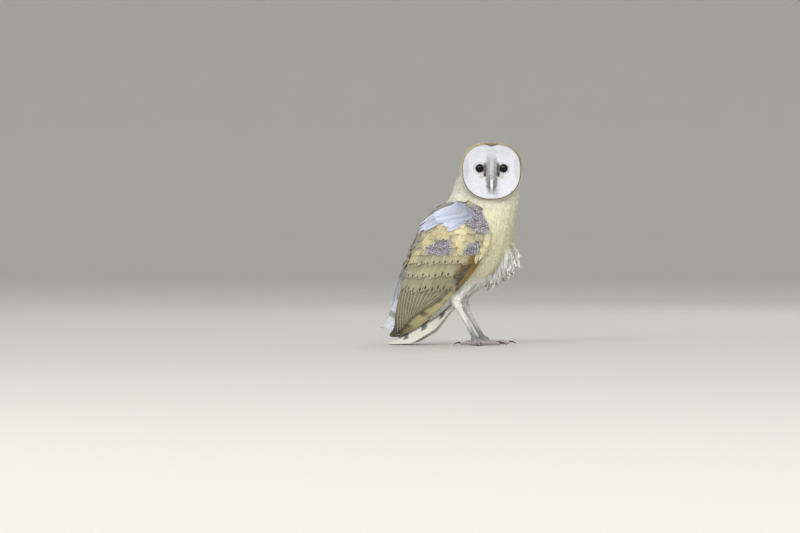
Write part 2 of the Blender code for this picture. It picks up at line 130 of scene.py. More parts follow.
COVERT_KHAKI = colour("B6AE8C")
RUST = colour("8C7440")
RUST_DARK = colour("5F5645")
VANE_BROWN = colour("867E62")
VANE_DARK = colour("665D45")
VANE_YELLOW = colour("D0C594")
VANE_GREY = colour("847E71")
VANE_TIP = colour("2E2A1D")
UNDER_WHITE = colour("EDF1FA")
TUFT_WHITE = colour("F6F7F2")
TAIL_CREAM = colour("D9D7CE")
TAIL_DARK = colour("54524F")
TOE_GREY = colour("A9A4A2")
LID_DARK = colour("3A302E")
PUPIL_BLACK = colour("050405")
IRIS_BROWN = colour("1B1213")
BILL_IVORY = colour("E6ECF2")
BILL_STREAK = colour("CBD0D6")
CLAW_BLACK = colour("1A1513")
CLAW_STREAK = colour("3A302A")
GRAIN_DARK = colour("45403F")
GRAIN_PALE = colour("E9E8EC")
SPOT_BROWN = colour("4B3F33")
DROP_DARK = colour("453E34")
DROP_CREAM = colour("D2CCB2")
SHAFT_CREAM = colour("C9BE9C")
PEPPER_KHAKI = colour("A9A187")
PEPPER_WHITE = colour("EFECE2")
UNDER_BAR = colour("A5A49F")
TAIL_UNDER_BAR = colour("BBB8AE")
TAIL_UNDER_CREAM = colour("E8E5DA")
PAPER_GREY = colour("B6B4AF")


def mixed(first, second, share):
    """Colours, or rows of them, blended by an array of shares from 0 to 1."""
    share = np.clip(np.asarray(share, float), 0, 1)[:, None]
    return first * (1 - share) + second * share


def step(value, start, end):
    """A smooth step from 0 at start to 1 at end."""
    t = np.clip((value - start) / (end - start), 0, 1)
    return t * t * (3 - 2 * t)


def blob(x, y, centre, radii, tilt=0.0):
    """A soft-edged tilted ellipse: 1 inside, 0 outside."""
    c, s = math.cos(math.radians(tilt)), math.sin(math.radians(tilt))
    dx, dy = x - centre[0], y - centre[1]
    along = (dx * c + dy * s) / radii[0]
    over = (-dx * s + dy * c) / radii[1]
    return 1 - step(np.hypot(along, over), 0.75, 1.2)


# ---- materials ----


def add(tree, kind, inputs=None, **settings):
    """Adds a node with its settings; an input's value is a number, a colour or a link.

    A link is given as a socket, or as a node whose first output in use is meant.
    """
    made = tree.nodes.new("ShaderNode" + kind)
    for name, value in settings.items():
        setattr(made, name, value)
    for name, value in (inputs or {}).items():
        if isinstance(value, bpy.types.Node):
            value = next(socket for socket in value.outputs if socket.enabled)
        if isinstance(value, bpy.types.NodeSocket):
            tree.links.new(value, made.inputs[name])
            continue
        if isinstance(value, np.ndarray):
            value = (*value.tolist(), 1.0)
        made.inputs[name].default_value = value
    return made


SHARE, FIRST, SECOND = 0, 6, 7      # the sockets of a Mix node that blends two colours

# The scales of textures, in features to a metre.
SPECKLE_SCALE = 620.0       # grey and white grains 1.6 mm wide
WOBBLE_SCALE = 260.0        # barbs waver over 4 mm
RAG_SCALE = 240.0           # the bars' ragged edges waver over 4 mm
PEPPER_SCALE = 700.0        # grains 1.4 mm wide on the quills
SCUTE_SCALE = 520.0         # scales 2 mm wide on the toes
HORN_SCALE = (900.0, 900.0, 160.0)      # streaks 1 mm apart and 6 mm long

BARB_PITCH = 1.6        # between the quills' streaks: real barbs are too fine to show
BARB_SLANT = 16.0       # how far towards the tip a quill's barbs run over its width
SOFT_SLANT = 0.9        # the same for a small vane, as a share of its length
SOFT_WOBBLE = 9.0       # how much those barbs waver, in radians of their pattern
DARK_GRAINS = 0.55      # the strength of dark grains beside white ones
RAG_DEPTH = 6.0         # how far the edges of a quill's bars waver
BARB_RELIEF = 0.2 * MM
SCUTE_RELIEF = 0.4 * MM
STREAK_RELIEF = 0.2 * MM
RIDGE_NARROW = 1.3      # half width of the bill's pale ridge: here it begins to darken
RIDGE_WIDE = 2.6        # and here it has the flanks' colour, painted shade


def blank_material(name):
    """A new material without nodes, and its tree."""
    made = bpy.data.materials.new(name)
    made.use_nodes = True
    made.node_tree.nodes.clear()
    return made, made.node_tree


def finish_material(tree, shader):
    add(tree, "OutputMaterial", {"Surface": shader})


def vane_inputs(tree):
    """What a vane's finish reads: its colour and marks, where on the vane, and where."""
    plume = add(tree, "Attribute", attribute_name="plume").outputs["Color"]
    marks = add(tree, "Attribute", attribute_name="marks").outputs["Color"]
    marks = add(tree, "SeparateColor", {"Color": marks}).outputs
    vane = add(tree, "UVMap", uv_map="Vane")
    vane = add(tree, "SeparateXYZ", {"Vector": vane}).outputs
    aside = add(tree, "Math", {0: vane["X"], 1: 0.5}, operation="SUBTRACT")
    out = add(tree, "Math", {0: aside}, operation="ABSOLUTE")
    place = add(tree, "TexCoord").outputs["Object"]
    return plume, marks, vane["Y"], aside, out, place


def feather_material(name, drops, barbs=16, roughness=0.72, painted_root_shade=0.2,
                     edge_light=0.06):
    """Feather keratin: matt vanes with fine slanting barbs, darker down at the root: grey down
    there, with painted shade where the feathers above overlap.

    Attribute "plume" is the vane's colour.  "marks" holds, as red, the strength of the
    drops; as green, grey and white speckling; as blue, a random number for the feather.
    Each drop is its place along the vane, half its length, half its width and colour.
    """
    made, tree = blank_material(name)
    plume, marks, along, aside, out, place = vane_inputs(tree)

    # speckling: white grains, and fainter dark ones
    grain = add(tree, "TexNoise", {"Vector": place, "Scale": SPECKLE_SCALE, "Detail": 2.0})
    pale = add(tree, "MapRange", {"Value": grain, "From Min": 0.56, "From Max": 0.66})
    pale = add(tree, "Math", {0: pale, 1: marks["Green"]}, operation="MULTIPLY")
    dark = add(tree, "MapRange", {"Value": grain, "From Min": 0.46, "From Max": 0.34})
    dark = add(tree, "Math", {0: dark, 1: marks["Green"]}, operation="MULTIPLY")
    dark = add(tree, "Math", {0: dark, 1: DARK_GRAINS}, operation="MULTIPLY")
    tint = add(tree, "Mix", {SHARE: dark, FIRST: plume, SECOND: GRAIN_DARK}, data_type="RGBA")
    tint = add(tree, "Mix", {SHARE: pale, FIRST: tint, SECOND: GRAIN_PALE}, data_type="RGBA")

    # drops near the tip are soft-edged ellipses
    for centre, half_length, half_width, drop_tint in drops:
        down = add(tree, "Math", {0: along, 1: centre}, operation="SUBTRACT")
        down = add(tree, "Math", {0: down, 1: half_length}, operation="DIVIDE")
        down = add(tree, "Math", {0: down, 1: 2.0}, operation="POWER")
        wide = add(tree, "Math", {0: aside, 1: half_width}, operation="DIVIDE")
        wide = add(tree, "Math", {0: wide, 1: 2.0}, operation="POWER")
        far = add(tree, "Math", {0: down, 1: wide}, operation="ADD")
        drop = add(tree, "MapRange", {"Value": far, "From Min": 1.2, "From Max": 0.6})
        drop = add(tree, "Math", {0: drop, 1: marks["Red"]}, operation="MULTIPLY")
        tint = add(tree, "Mix", {SHARE: drop, FIRST: tint, SECOND: drop_tint}, data_type="RGBA")

    # barbs slant from the shaft to the edge
    slant = add(tree, "Math", {0: out, 1: SOFT_SLANT}, operation="MULTIPLY")
    slant = add(tree, "Math", {0: along, 1: slant}, operation="SUBTRACT")
    turns = add(tree, "Math", {0: slant, 1: barbs * 2 * math.pi}, operation="MULTIPLY")
    wobble = add(tree, "TexNoise", {"Vector": place, "Scale": WOBBLE_SCALE})
    wobble = add(tree, "Math", {0: wobble, 1: SOFT_WOBBLE}, operation="MULTIPLY")
    turns = add(tree, "Math", {0: turns, 1: wobble}, operation="ADD")
    comb = add(tree, "Math", {0: turns}, operation="SINE")
    shade = add(tree, "MapRange", {"Value": comb, "From Min": -1.0, "From Max": 1.0,
                                   "To Min": 0.86, "To Max": 1.04})

    # each feather is a little lighter or darker and pale at its edge; it is dark at its root:
    # grey down there, with painted shade where the feathers above overlap it
    lot = add(tree, "MapRange", {"Value": marks["Blue"], "To Min": 0.88, "To Max": 1.07})
    down = add(tree, "MapRange", {"Value": along, "From Min": 0.15, "From Max": 0.75,
                                  "To Min": 1 - painted_root_shade})
    edge = add(tree, "MapRange", {"Value": out, "From Min": 0.28, "From Max": 0.46,
                                  "To Min": 1.0, "To Max": 1 + edge_light})
    for factor in (lot, down, edge):
        shade = add(tree, "Math", {0: shade, 1: factor}, operation="MULTIPLY")
    tint = add(tree, "VectorMath", {0: tint, 1: shade}, operation="MULTIPLY")
    bump = add(tree, "Bump", {"Height": comb, "Strength": 0.25, "Distance": BARB_RELIEF})
    shader = add(tree, "BsdfPrincipled", {
        "Base Color": tint, "Roughness": roughness, "Normal": bump,
        "Sheen Weight": 0.12, "Sheen Roughness": 0.5, "Specular IOR Level": 0.3})
    finish_material(tree, shader)
    return made


def quill_material(name, bar_space, bar_tint, pepper_tint, plain=None):
    """A large stiff vane: barred across, streaked along the barbs, with a paler shaft.

    "marks" holds the strength of the bars as red and of the peppering as green.  Where
    plain is given, it is the colour between the bars instead of "plume".
    """
    made, tree = blank_material(name)
    plume, marks, _, _, out, place = vane_inputs(tree)
    if plain is not None:
        plume = plain
    reach = add(tree, "UVMap", uv_map="Reach")
    reach = add(tree, "SeparateXYZ", {"Vector": reach}).outputs["Y"]

    # bars, counted from the tip in millimetres
    ragged = add(tree, "TexNoise", {"Vector": place, "Scale": RAG_SCALE, "Detail": 3.0})
    ragged = add(tree, "Math", {0: ragged, 1: RAG_DEPTH}, operation="MULTIPLY")
    far = add(tree, "Math", {0: reach, 1: ragged}, operation="ADD")
    turn = add(tree, "Math", {0: far, 1: 2 * math.pi / bar_space}, operation="MULTIPLY")
    wave = add(tree, "Math", {0: turn}, operation="COSINE")
    bar = add(tree, "MapRange", {"Value": wave, "From Min": 0.35, "From Max": 0.85})
    bar = add(tree, "Math", {0: bar, 1: marks["Red"]}, operation="MULTIPLY")
    tint = add(tree, "Mix", {SHARE: bar, FIRST: plume, SECOND: bar_tint}, data_type="RGBA")

    # fine peppering, and streaks that run with the barbs
    pepper = add(tree, "TexNoise", {"Vector": place, "Scale": PEPPER_SCALE, "Detail": 2.0})
    pepper = add(tree, "MapRange", {"Value": pepper, "From Min": 0.5, "From Max": 0.68})
    pepper = add(tree, "Math", {0: pepper, 1: marks["Green"]}, operation="MULTIPLY")
    tint = add(tree, "Mix", {SHARE: pepper, FIRST: tint, SECOND: pepper_tint}, data_type="RGBA")
    slant = add(tree, "Math", {0: out, 1: BARB_SLANT}, operation="MULTIPLY")
    slant = add(tree, "Math", {0: reach, 1: slant}, operation="ADD")
    comb = add(tree, "Math", {0: slant, 1: 2 * math.pi / BARB_PITCH},
               operation="MULTIPLY")
    comb = add(tree, "Math", {0: comb}, operation="SINE")
    shade = add(tree, "MapRange", {"Value": comb, "From Min": -1.0, "From Max": 1.0,
                                   "To Min": 0.84, "To Max": 1.06})
    tint = add(tree, "VectorMath", {0: tint, 1: shade}, operation="MULTIPLY")

    shaft = add(tree, "MapRange", {"Value": out, "From Min": 0.045, "From Max": 0.02})
    shaft = add(tree, "Math", {0: shaft, 1: 0.5}, operation="MULTIPLY")
    tint = add(tree, "Mix", {SHARE: shaft, FIRST: tint, SECOND: SHAFT_CREAM}, data_type="RGBA")
    bump = add(tree, "Bump", {"Height": comb, "Strength": 0.2, "Distance": BARB_RELIEF})
    shader = add(tree, "BsdfPrincipled", {
        "Base Color": tint, "Roughness": 0.62, "Normal": bump,
        "Sheen Weight": 0.08, "Specular IOR Level": 0.35})
    finish_material(tree, shader)
    return made


def skin_material():
    """Living skin under the feathers, bare and finely scaled on the toes."""
    made, tree = blank_material("bird_skin")
    plume = add(tree, "Attribute", attribute_name="plume").outputs["Color"]
    place = add(tree, "TexCoord").outputs["Object"]
    scutes = add(tree, "TexVoronoi", {"Vector": place, "Scale": SCUTE_SCALE})
    edge = add(tree, "MapRange", {"Value": scutes, "From Min": 0.2, "From Max": 0.6,
                                  "To Min": 1.04, "To Max": 0.82})
    tint = add(tree, "VectorMath", {0: plume, 1: edge}, operation="MULTIPLY")
    bump = add(tree, "Bump", {"Height": scutes, "Strength": 0.4, "Distance": SCUTE_RELIEF},
               invert=True)
    shader = add(tree, "BsdfPrincipled", {
        "Base Color": tint, "Roughness": 0.6, "Normal": bump,
        "Subsurface Weight": 0.05, "Specular IOR Level": 0.35})
    finish_material(tree, shader)
    return made


def eye_material():
    """A wet cornea over a very dark brown iris and a black pupil."""
    made, tree = blank_material("wet_eye")
    ring = add(tree, "Attribute", attribute_name="iris").outputs["Fac"]
    iris = add(tree, "MapRange", {"Value": ring, "From Min": 0.52, "From Max": 0.6})
    tint = add(tree, "Mix", {SHARE: iris, FIRST: PUPIL_BLACK, SECOND: IRIS_BROWN},
               data_type="RGBA")
    shader = add(tree, "BsdfPrincipled", {
        "Base Color": tint, "Roughness": 0.1, "IOR": 1.3, "Coat Weight": 0.15,
        "Coat Roughness": 0.02})
    finish_material(tree, shader)
    return made


def horn_material(name, base, streak, roughness, flank=None):
    """Polished horn: faint streaks that run down it, and a waxy gloss.

    Where flank is given, the sides of the bill turn to that colour: painted shade, with the
    dark of the bristles over them.
    """
    made, tree = blank_material(name)
    place = add(tree, "TexCoord").outputs["Object"]
    drawn = add(tree, "Mapping", {"Vector": place, "Scale": HORN_SCALE})
    noise = add(tree, "TexNoise", {"Vector": drawn, "Scale": 1.0, "Detail": 2.0})
    tint = add(tree, "Mix", {SHARE: noise, FIRST: base, SECOND: streak}, data_type="RGBA")
    if flank is not None:
        aside = add(tree, "VectorMath", {0: place, 1: tuple(ACROSS)},
                    operation="DOT_PRODUCT")
        aside = add(tree, "Math", {0: aside, 1: HEAD.dot(ACROSS)}, operation="SUBTRACT")
        aside = add(tree, "Math", {0: aside}, operation="ABSOLUTE")
        aside = add(tree, "MapRange", {"Value": aside, "From Min": RIDGE_NARROW * MM,
                                       "From Max": RIDGE_WIDE * MM})
        tint = add(tree, "Mix", {SHARE: aside, FIRST: tint, SECOND: flank}, data_type="RGBA")
    bump = add(tree, "Bump", {"Height": noise, "Strength": 0.1, "Distance": STREAK_RELIEF})
    shader = add(tree, "BsdfPrincipled", {
        "Base Color": tint, "Roughness": roughness, "Normal": bump,
        "Subsurface Weight": 0.05, "IOR": 1.54})
    finish_material(tree, shader)
    return made


SOFT_FEATHER = feather_material("soft_contour_feather", ((0.92, 0.065, 0.32, SPOT_BROWN),))
# coverts: strong painted shade at the root, under the row above
COVERT_FEATHER = feather_material("wing_covert_feather",
                                  ((0.91, 0.10, 0.13, DROP_DARK),
                                   (0.985, 0.02, 0.12, DROP_CREAM)),
                                  barbs=22, roughness=0.66, painted_root_shade=0.5,
                                  edge_light=0.22)
WING_QUILL = quill_material("wing_quill_vane", 31.0, VANE_DARK, PEPPER_KHAKI)
UNDER_QUILL = quill_material("under_wing_vane", 29.0, UNDER_BAR, UNDER_WHITE, UNDER_WHITE)
TAIL_QUILL = quill_material("tail_quill_vane", 28.0, TAIL_DARK, PEPPER_WHITE)
TAIL_UNDER = quill_material("tail_under_vane", 28.0, TAIL_UNDER_BAR, TAIL_CREAM,
                            TAIL_UNDER_CREAM)
SKIN = skin_material()
EYE = eye_material()
BILL_HORN = horn_material("bill_horn_ivory", BILL_IVORY, BILL_STREAK, 0.38, BILL_SHADE)
CLAW_HORN = horn_material("claw_horn_black", CLAW_BLACK, CLAW_STREAK, 0.28)


# ---- mesh helpers ----


def new_piece(name, mesh, material, *more):
    """An object for a mesh, with one finish or more."""
    piece = bpy.data.objects.new(name, mesh)
    bpy.context.scene.collection.objects.link(piece)
    for finish in (material, *more):
        mesh.materials.append(finish)
    return piece


def dressed(piece, slot, *nodes):
    """The piece rides on the body and stands for CAD nodes; slot is not used."""
    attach(piece, "root")
    if nodes:
        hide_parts(*nodes)
    return piece


def applied_mesh(piece):
    """The piece's mesh with its modifiers applied."""
    graph = bpy.context.evaluated_depsgraph_get()
    return bpy.data.meshes.new_from_object(piece.evaluated_get(graph))


def read(items, name, columns=1, kind=float):
    """One property of all of a mesh's items, as an array."""
    flat = np.empty(len(items) * columns, kind)
    items.foreach_get(name, flat)
    return flat.reshape(-1, columns) if columns > 1 else flat


def coordinates(mesh):
    return read(mesh.vertices, "co", 3)


def vertex_normals(mesh):
    return read(mesh.vertex_normals, "vector", 3)


def joined_nodes(*nodes):
    """A bmesh of CAD nodes, their loose triangles merged."""
    bm = bmesh.new()
    for node in nodes:
        bm.from_mesh(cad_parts[node].data)
    bmesh.ops.remove_doubles(bm, verts=bm.verts, dist=1e-6)
    bmesh.ops.recalc_face_normals(bm, faces=bm.faces)
    return bm


def smooth_mesh(bm, name):
    """Turns a bmesh into a mesh that is shaded smooth."""
    mesh = bpy.data.meshes.new(name)
    bm.to_mesh(mesh)
    bm.free()
    mesh.shade_smooth()
    return mesh


def paint(mesh, name, values):
    """Stores one colour for each vertex."""
    layer = mesh.attributes.new(name, "FLOAT_COLOR", "POINT")
    four = np.ones((len(values), 4), np.float32)
    four[:, :values.shape[1]] = values
    layer.data.foreach_set("color", four.ravel())


def tree_of(names):
    """A search tree over CAD nodes, and the node that each of its faces belongs to."""
    points, faces, owner = [], [], []
    for name in names:
        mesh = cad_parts[name].data
        first = len(points)
        points += [v.co.copy() for v in mesh.vertices]
        faces += [[first + i for i in p.vertices] for p in mesh.polygons]
        owner += [name] * len(mesh.polygons)
    return BVHTree.FromPolygons(points, faces), owner


# ---- sheets that feathers lie on ----


class Sheet:
    """A smooth copy of one side of some solids, for feathers to be drawn on.

    A place on it is u, along, and w, the distance over its surface from the line v = 0,
    both in millimetres.  v is the same place seen square on.
    """

    PITCH = 1.5
    RAY_START = 300 * MM        # rays towards the solids start this far out
    SOFTENING = 3               # passes, each of which gives way to the neighbours by
    YIELD = 0.6                 # this share

    def __init__(self, nodes, origin, u, v, out, u_range, v_range):
        tree, _ = tree_of(nodes)
        origin, u, v, out = [np.array(w, float) for w in (origin, u, v, out)]
        self.u_at = np.arange(*u_range, self.PITCH)
        self.v_at = np.arange(*v_range, self.PITCH)
        heights = np.full((len(self.u_at), len(self.v_at)), np.nan)
        for i, along in enumerate(self.u_at):
            for j, across in enumerate(self.v_at):
                spot = origin + (u * along + v * across) * MM
                found = tree.ray_cast(Vector(spot + out * self.RAY_START), Vector(-out))
                if found[0] is not None:
                    heights[i, j] = self.RAY_START - found[3]
        solid = ~np.isnan(heights)
        heights = self.spread(heights)
        hops = np.hypot(self.PITCH, np.diff(heights, axis=1) / MM)
        self.arc = np.hstack([np.zeros((len(self.u_at), 1)), np.cumsum(hops, axis=1)])
        zero = np.abs(self.v_at).argmin()
        self.arc -= self.arc[:, zero:zero + 1]
        self.w_at = np.arange(self.arc.min(), self.arc.max(), self.PITCH)
        rows = []
        for along, arc, height in zip(self.u_at, self.arc, heights):
            across = np.interp(self.w_at, arc, self.v_at)
            height = np.interp(self.w_at, arc, height)
            rows.append(origin + (u * along + v * across[:, None]) * MM
                        + out * height[:, None])
        self.points = np.array(rows)
        over_u, over_w = np.gradient(self.points, axis=(0, 1))
        self.normals = unit(np.cross(over_u, over_w))
        self.hand = 1                           # +1 when w is to the right of u
        if (self.normals @ out).mean() > 0:
            self.hand = -1
        self.normals *= -self.hand
        known = solid.any(axis=1)
        ends = []
        for part in (solid[known], solid[known][:, ::-1]):
            ends.append(part.argmax(axis=1))
        ends[1] = len(self.v_at) - 1 - ends[1]
        rows = np.arange(len(self.u_at))[known]
        self.edge_u = self.u_at[known]
        self.edge_w = [self.arc[rows, end] for end in ends]

    def spread(self, heights):
        """Fills the cells outside the solids from their neighbours, then softens all."""
        heights = heights.copy()
        while np.isnan(heights).any():
            total, count = self.neighbours(heights)
            grown = np.isnan(heights) & (count > 0)
            heights[grown] = total[grown] / count[grown]
        for _ in range(self.SOFTENING):
            total, count = self.neighbours(heights)
            heights = (1 - self.YIELD) * heights + self.YIELD * total / count
        return heights

    @staticmethod
    def neighbours(heights):
        """The sum and the number of the known cells beside each cell."""
        padded = np.pad(heights, 1, constant_values=np.nan)
        beside = np.stack([padded[:-2, 1:-1], padded[2:, 1:-1],
                           padded[1:-1, :-2], padded[1:-1, 2:]])
        return np.nansum(beside, axis=0), (~np.isnan(beside)).sum(axis=0)

    @staticmethod
    def between(table, i, j):
        """Values of a table at fractional rows and columns."""
        i = np.clip(i, 0, table.shape[0] - 1.001)
        j = np.clip(j, 0, table.shape[1] - 1.001)
        low_i, low_j = i.astype(int), j.astype(int)
        i, j = i - low_i, j - low_j
        if table.ndim == 3:
            i, j = i[..., None], j[..., None]
        return ((table[low_i, low_j] * (1 - j) + table[low_i, low_j + 1] * j) * (1 - i)
                + (table[low_i + 1, low_j] * (1 - j)
                   + table[low_i + 1, low_j + 1] * j) * i)

    def at(self, u, w):
        """Points on the sheet, and the directions that it faces there."""
        i, j = (u - self.u_at[0]) / self.PITCH, (w - self.w_at[0]) / self.PITCH
        return self.between(self.points, i, j), unit(self.between(self.normals, i, j))

    def arc_at(self, u, v):
        """The w of a place given as it is seen square on."""
        u, v = np.asarray(u, float), np.asarray(v, float)
        return self.between(self.arc, (u - self.u_at[0]) / self.PITCH,
                            (v - self.v_at[0]) / self.PITCH)

    def edges(self, u):
        """The least and the greatest w inside the solids' outline."""
        return [np.interp(u, self.edge_u, edge) for edge in self.edge_w]


def unit(vectors):
    """The vectors, each made one long."""
    return vectors / (np.linalg.norm(vectors, axis=-1, keepdims=True) + 1e-12)


# How far a wing's sheet goes past the shoulder and the tip, and its reach across.
WING_ENDS = (-12, 8)
WING_ACROSS = (-72, 112)


class Wing:
    """One folded wing, seen square to its side.

    Along is towards the tip of the longest quill and across towards the front edge,
    both in millimetres from the shoulder's highest point.
    """

    def __init__(self, side, word):
        names = ["wing_" + word, "flight_feathers_" + word]
        cover, quills = [coordinates(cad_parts[n].data) for n in names]
        self.top = cover[cover[:, 2].argmax()]
        far = np.hypot(*(quills - self.top)[:, (0, 2)].T)
        self.length = far.max() / MM
        axis = (quills[far.argmax()] - self.top)[[0, 2]] / far.max()
        self.axis = np.array((axis[0], 0, axis[1]))
        self.front = np.array((-axis[1], 0, axis[0]))
        origin = (self.top[0], 0, self.top[2])
        self.sheet = Sheet(names, origin, self.axis, self.front, (0, side, 0),
                           (WING_ENDS[0], self.length + WING_ENDS[1]), WING_ACROSS)

    def measures(self, points):
        """Along and across of points near the wing."""
        offset = (points - self.top) / MM
        return offset @ self.axis, offset @ self.front


WINGS = {side: Wing(side, word) for side, word in SIDES}


# ---- plumage ----


def face_measures(points):
    """Millimetres across and up the face, and in front of the head's middle."""
    rel = (points - np.array(HEAD)) / MM
    return rel @ np.array(ACROSS), rel @ np.array(UP), rel @ np.array(FACING)


def from_feet(points):
    """Millimetres ahead of the feet, to the bird's left and up from the floor."""
    return (points / MM - np.array((FEET.x / MM, 0, 0))).T


def disc_share(across, up):
    """0 at the middle of the facial disc, 1 on the edge of its white."""
    side = np.abs(across)
    square = np.where(up > 0, SQUARE_ABOVE, SQUARE_BELOW)
    dip = NOTCH_DEEP * np.clip(1 - side / NOTCH_WIDE, 0, 1)
    tall = np.where(up > 0, FACE_HIGH - dip, FACE_LOW)
    return ((side / FACE_WIDE) ** square + (np.abs(up) / tall) ** square) ** (1 / square)


# The olive band down the middle of the face: half widths at these heights.
BAND_UP = (-36, -28, -20, -12, -4, 6, 16, 34)
BAND_WIDE = (2.5, 3.6, 5.4, 7.8, 10.8, 11.5, 9.5, 5)
# Marks on both sides of the face: colour, place (out from the middle, up from the eyes'
# level), radii, tilt, strength.
FACE_MARKS = (
    (OLIVE_STAIN, (15.6, -10.0), (3.2, 1.8), 20, 0.6),
    (TEAR_BROWN, (EYE_ASIDE - 6.9, -0.5), (2.0, 8.5), -4, 0.85),
    (TEAR_BROWN, (EYE_ASIDE - 6.6, -7.0), (2.3, 3.6), -20, 1.0),
    # painted shade in the crease beside the bill
    (CREASE_PAINTED_SHADE, (8.0, -17.5), (1.5, 7.0), -27, 0.35),
    # the bristles' dark colour beside the bill, with painted shade
    (BILL_SHADE, (4.4, -26.0), (1.5, 8.0), -17, 0.5),
)


def face_plumage(across, up):
    """White, with an olive band down the middle, dark marks beside the eyes and bill, some of
    them painted shade, and grey painted shade at the disc's sides.
    """
    side = np.abs(across)
    share = disc_share(across, up)
    low = up - EYE_UP
    made = mixed(DISC_WHITE, DISC_GREY, 0.5 * step(up, 10, 34) * (1 - step(share, 0.6, 0.9)))
    # grey painted shade where the disc curves away at its sides
    made = mixed(made, DISC_GREY, 0.7 * blob(side, up, (36, 2), (5, 15)))
    wide = np.interp(up, BAND_UP, BAND_WIDE)
    band = step(up, -34, -26) * (1 - step(up, 12, 32))
    made = mixed(made, BROW_OLIVE, 0.9 * band * (1 - step(side, wide * 0.6, wide * 1.15)))
    streak = 0.5 + 0.5 * np.sin(across * 2.3 + 0.8 * np.sin(up * 0.13))
    made = mixed(made, BROW_DARK, 0.38 * streak * band * (1 - step(side, wide * 0.7, wide)))
    made = mixed(made, BROW_DARK, 0.3 * blob(side, up, (7.0, 4), (2.4, 22), 4))
    made = mixed(made, DISC_GREY, 0.7 * blob(side, up, (0, -2), (1.6, 26)))
    for tint, place, radii, tilt, strength in FACE_MARKS:
        made = mixed(made, tint, strength * blob(side, low, place, radii, tilt))
    lash = 1 - step(np.hypot(side - EYE_ASIDE, low), 5.8, 6.8)
    made = mixed(made, TEAR_BROWN, 0.5 * lash)
    return made, np.zeros((len(made), 2))


def crown_plumage(up, forward):
    """Crown, sides and nape: buff under a grey speckled veil, creamier lower down."""
    high = step(up, 8, 36)
    made = mixed(NAPE_CREAM, CROWN_BUFF, 0.75 * high)
    back = step(forward, 20, -30)
    made = mixed(made, CROWN_GREY, 0.55 * high + 0.35 * back * step(up, -20, 20))
    marks = np.stack([0.55 * step(up, 0, 25), 0.15 + 0.6 * np.maximum(high, 0.7 * back)], 1)
    return made, marks


def hood_plumage(points):
    """The head behind its rim, down to the neck."""
    _, up, forward = face_measures(points)
    crown, neck = crown_plumage(up, forward), body_plumage(points)
    high = step(up, -60, -32)
    return [mixed(second, first, high) for first, second in zip(crown, neck)]


def body_plumage(points):
    """Neck, breast, belly, flanks and back."""
    x, _, z = from_feet(points)
    made = mixed(BREAST_CREAM, NECK_CREAM, step(z, 170, 205))
    belly = np.maximum(step(z, 132, 96), step(x, 40, 56) * step(z, 168, 140))
    made = mixed(made, BELLY_WHITE, belly)
    # the back is the upper rear face: buff with grey veil and dark streaks
    back = step(-x * 0.9 + (z - 190) * 0.35, 32, 52) * step(z, 60, 90)
    made = mixed(made, MANTLE_OLIVE, 0.85 * back)
    spots = (1 - belly) * (1 - back) * step(z, 222, 190)
    often = 0.07 + 0.13 * step(z, 190, 140)
    marks = np.stack([spots * (rng.random(len(z)) < often) + 0.4 * back,
                      0.05 + 0.7 * back], 1)
    return made, marks


RUST_PLACE = (84, 67)       # the rust patch at the wrist

# Patches on the folded wing: colour, place (along, across), radii, tilt, strength, speckle.
WING_PATCHES = (
    (WING_YELLOW, (44, 22), (46, 26), 60, 0.9, 0.10),
    # lighter cream feathers with a painted highlight over them
    (WING_LIGHT, (38, 36), (17, 9), 20, 0.9, 0.0),
    (VEIL_VIOLET, (10, 52), (29, 15), 78, 0.95, 1.0),
    (VEIL_VIOLET, (-6, 46), (12, 20), 0, 0.8, 1.0),
    (VEIL_VIOLET, (74, 14), (25, 15), 105, 0.95, 1.0),
    (VEIL_VIOLET, (50, 61), (8, 15), 60, 0.95, 1.0),
    (VEIL_VIOLET, (53, 26), (9, 4), 30, 0.6, 0.8),
    (MANTLE_OLIVE, (70, -22), (44, 7), -22, 0.8, 0.5),
    (WING_LIGHT, (38, 76), (34, 3.5), 0, 0.7, 0.0),
    (WING_YELLOW, (112, -17), (17, 7), 0, 0.9, 0.1),
    (RUST, RUST_PLACE, (24, 7.5), -8, 1.0, 0.0),
    (RUST_DARK, (103, 60), (9, 5), 20, 0.9, 0.3),
)


def wing_plumage(along, across):
    """Buff and khaki, with grey-violet speckled patches and a rust edge at the wrist."""
    made = np.tile(COVERT_KHAKI, (len(along), 1))
    speckle = np.full(len(along), 0.25)
    made = mixed(made, MANTLE_OLIVE, 0.5 * step(across, 8, -30))
    for tint, place, radii, tilt, strength, grain in WING_PATCHES:
        share = blob(along, across, place, radii, tilt) * strength
        made = mixed(made, tint, share)
        speckle = speckle * (1 - share) + grain * share
    lower = step(along + 0.55 * across, 120, 180)
    made = mixed(made, VANE_BROWN, 0.8 * lower)
    return made, np.stack([np.zeros(len(along)), speckle], 1)


def leg_plumage(points):
    """White thighs, and shanks that turn grey towards the foot."""
    z = points[:, 2] / MM
    made = mixed(LEG_GREY, LEG_WHITE, step(z, 14, 50))
    return made, np.zeros((len(z), 2))


